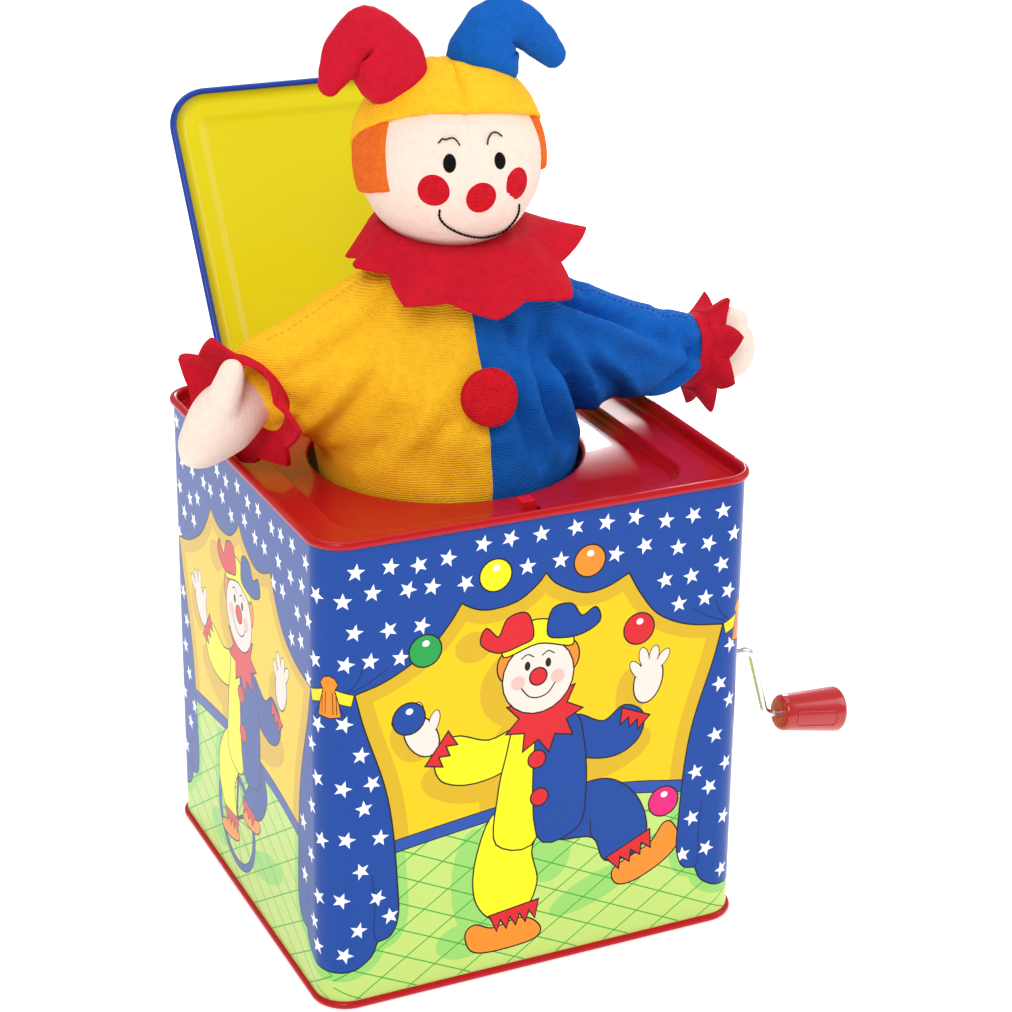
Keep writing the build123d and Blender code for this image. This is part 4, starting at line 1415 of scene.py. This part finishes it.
def onHead(points, lift, count=60):
    return [headPoint(az, el, lift) for az, el in splinePoints(points, count)]


features = {
    "smile": [(-24.2, -18.8), (-24.4, -23.0), (-21.4, -28.4), (-15.6, -33.5), (-5.9, -38.8), (8.5, -43.3),
              (23.1, -43.5),
              (33.6, -40.4), (36.8, -34), (36.2, -27), (33.0, -20.6)],
    "browLeft": [(-24.6, 24.0), (-22.8, 25.6), (-20.1, 25.6), (-16.7, 26.5), (-14.1, 25.3), (-12.2, 22.9)],
    "browRight": [(6.9, 22.4), (8.0, 25.0), (10.2, 27.2), (12.8, 28.2), (15.6, 27.6), (17.8, 25.8)],
}
brows = [onHead(features[key], 0.45) for key in ("browLeft", "browRight")]
stitchLine("smile", [onHead(features["smile"], 0.5, 120)], 1.3, 1.7, 0.36, eyeBlack, "doll")
stitchLine("brows", brows, 1.0, 1.5, 0.26, eyeBlack, "doll")
for key, colour, slotName in (("Left", threadYellow, "velour_yellow"), ("Right", threadBlue, "velour_blue")):
    yoke = stitchLine("yokeStitches" + key, [seams["torso" + key]], 2.1, 1.4, 0.2, colour, "root")
    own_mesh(yoke)
    arm = stitchLine("armStitches" + key, [seams["arm" + key]], 2.1, 1.4, 0.2, colour, key.lower() + "_arm")
    foldFlat(arm)


print("stage: floor, lights and camera")


def plane(name, points, material):
    mesh = bpy.data.meshes.new(name)
    mesh.from_pydata(points, [], [tuple(range(len(points)))])
    mesh.materials.append(material)
    newPiece(name, mesh)


floorFinish = newMaterial("floorPaint", "#F6F6F6", 0.6, {"Emission Strength": 0.45})
floorFinish.node_tree.nodes["Principled BSDF"].inputs["Emission Color"].default_value = (1, 1, 1, 1)
plane("floor", [(-6, -6, 0), (6, -6, 0), (6, 6, 0), (-6, 6, 0)], floorFinish)

studio = {
    # place, size, watts, colour
    "keyLight": ((-0.75, -0.95, 1.25), 0.8, 11, (1, 0.985, 0.96)),
    "sideLight": ((1.1, -0.5, 0.8), 0.9, 4.6, (0.97, 0.985, 1)),
    "topLight": ((0.1, 0.35, 1.5), 1.2, 6.4, (1, 1, 1)),
    "backPanel": ((0.53, 0.86, 0.46), 0.24, 4.5, (1, 1, 1)),
}


def aimed(place, target):
    back = (Vector(place) - Vector(target)).normalized()
    right = Vector((0, 0, 1)).cross(back).normalized()
    up = back.cross(right)
    return Matrix((
        (right.x, up.x, back.x, place[0]), (right.y, up.y, back.y, place[1]),
        (right.z, up.z, back.z, place[2]), (0, 0, 0, 1)))


for name, (place, size, watts, colour) in studio.items():
    light = bpy.data.lights.new(name, "AREA")
    light.shape = "DISK"
    light.size = size
    light.energy = watts
    light.color = colour
    lamp = newPiece(name, light)
    lamp.matrix_world = aimed(place, (0, 0, 0.14))

world = bpy.data.worlds.new("studioAir")
world.use_nodes = True
world.node_tree.nodes["Background"].inputs["Color"].default_value = (1, 1, 1, 1)
world.node_tree.nodes["Background"].inputs["Strength"].default_value = 0.5
bpy.context.scene.world = world
bpy.context.scene.view_settings.view_transform = "Standard"

shot = {
    "place": (-0.30368, -0.69094, 0.43953), "right": (0.90391, -0.42745, 0.01433), "up": (0.13695, 0.32100, 0.93712),
    "ahead": (0.40518, 0.84513, -0.34870), "lens": 92.13, "shiftX": -0.0240, "shiftY": -0.0955,
}
lens = bpy.data.cameras.new("camera")
lens.lens = shot["lens"]
lens.sensor_width = 36
lens.shift_x = shot["shiftX"]
lens.shift_y = shot["shiftY"]
lens.clip_start = 0.01
cameraPiece = newPiece("camera", lens)
rows = [[shot["right"][i], shot["up"][i], -shot["ahead"][i], shot["place"][i]] for i in range(3)]
cameraPiece.matrix_world = Matrix(rows + [[0, 0, 0, 1]])
bpy.context.scene.camera = cameraPiece
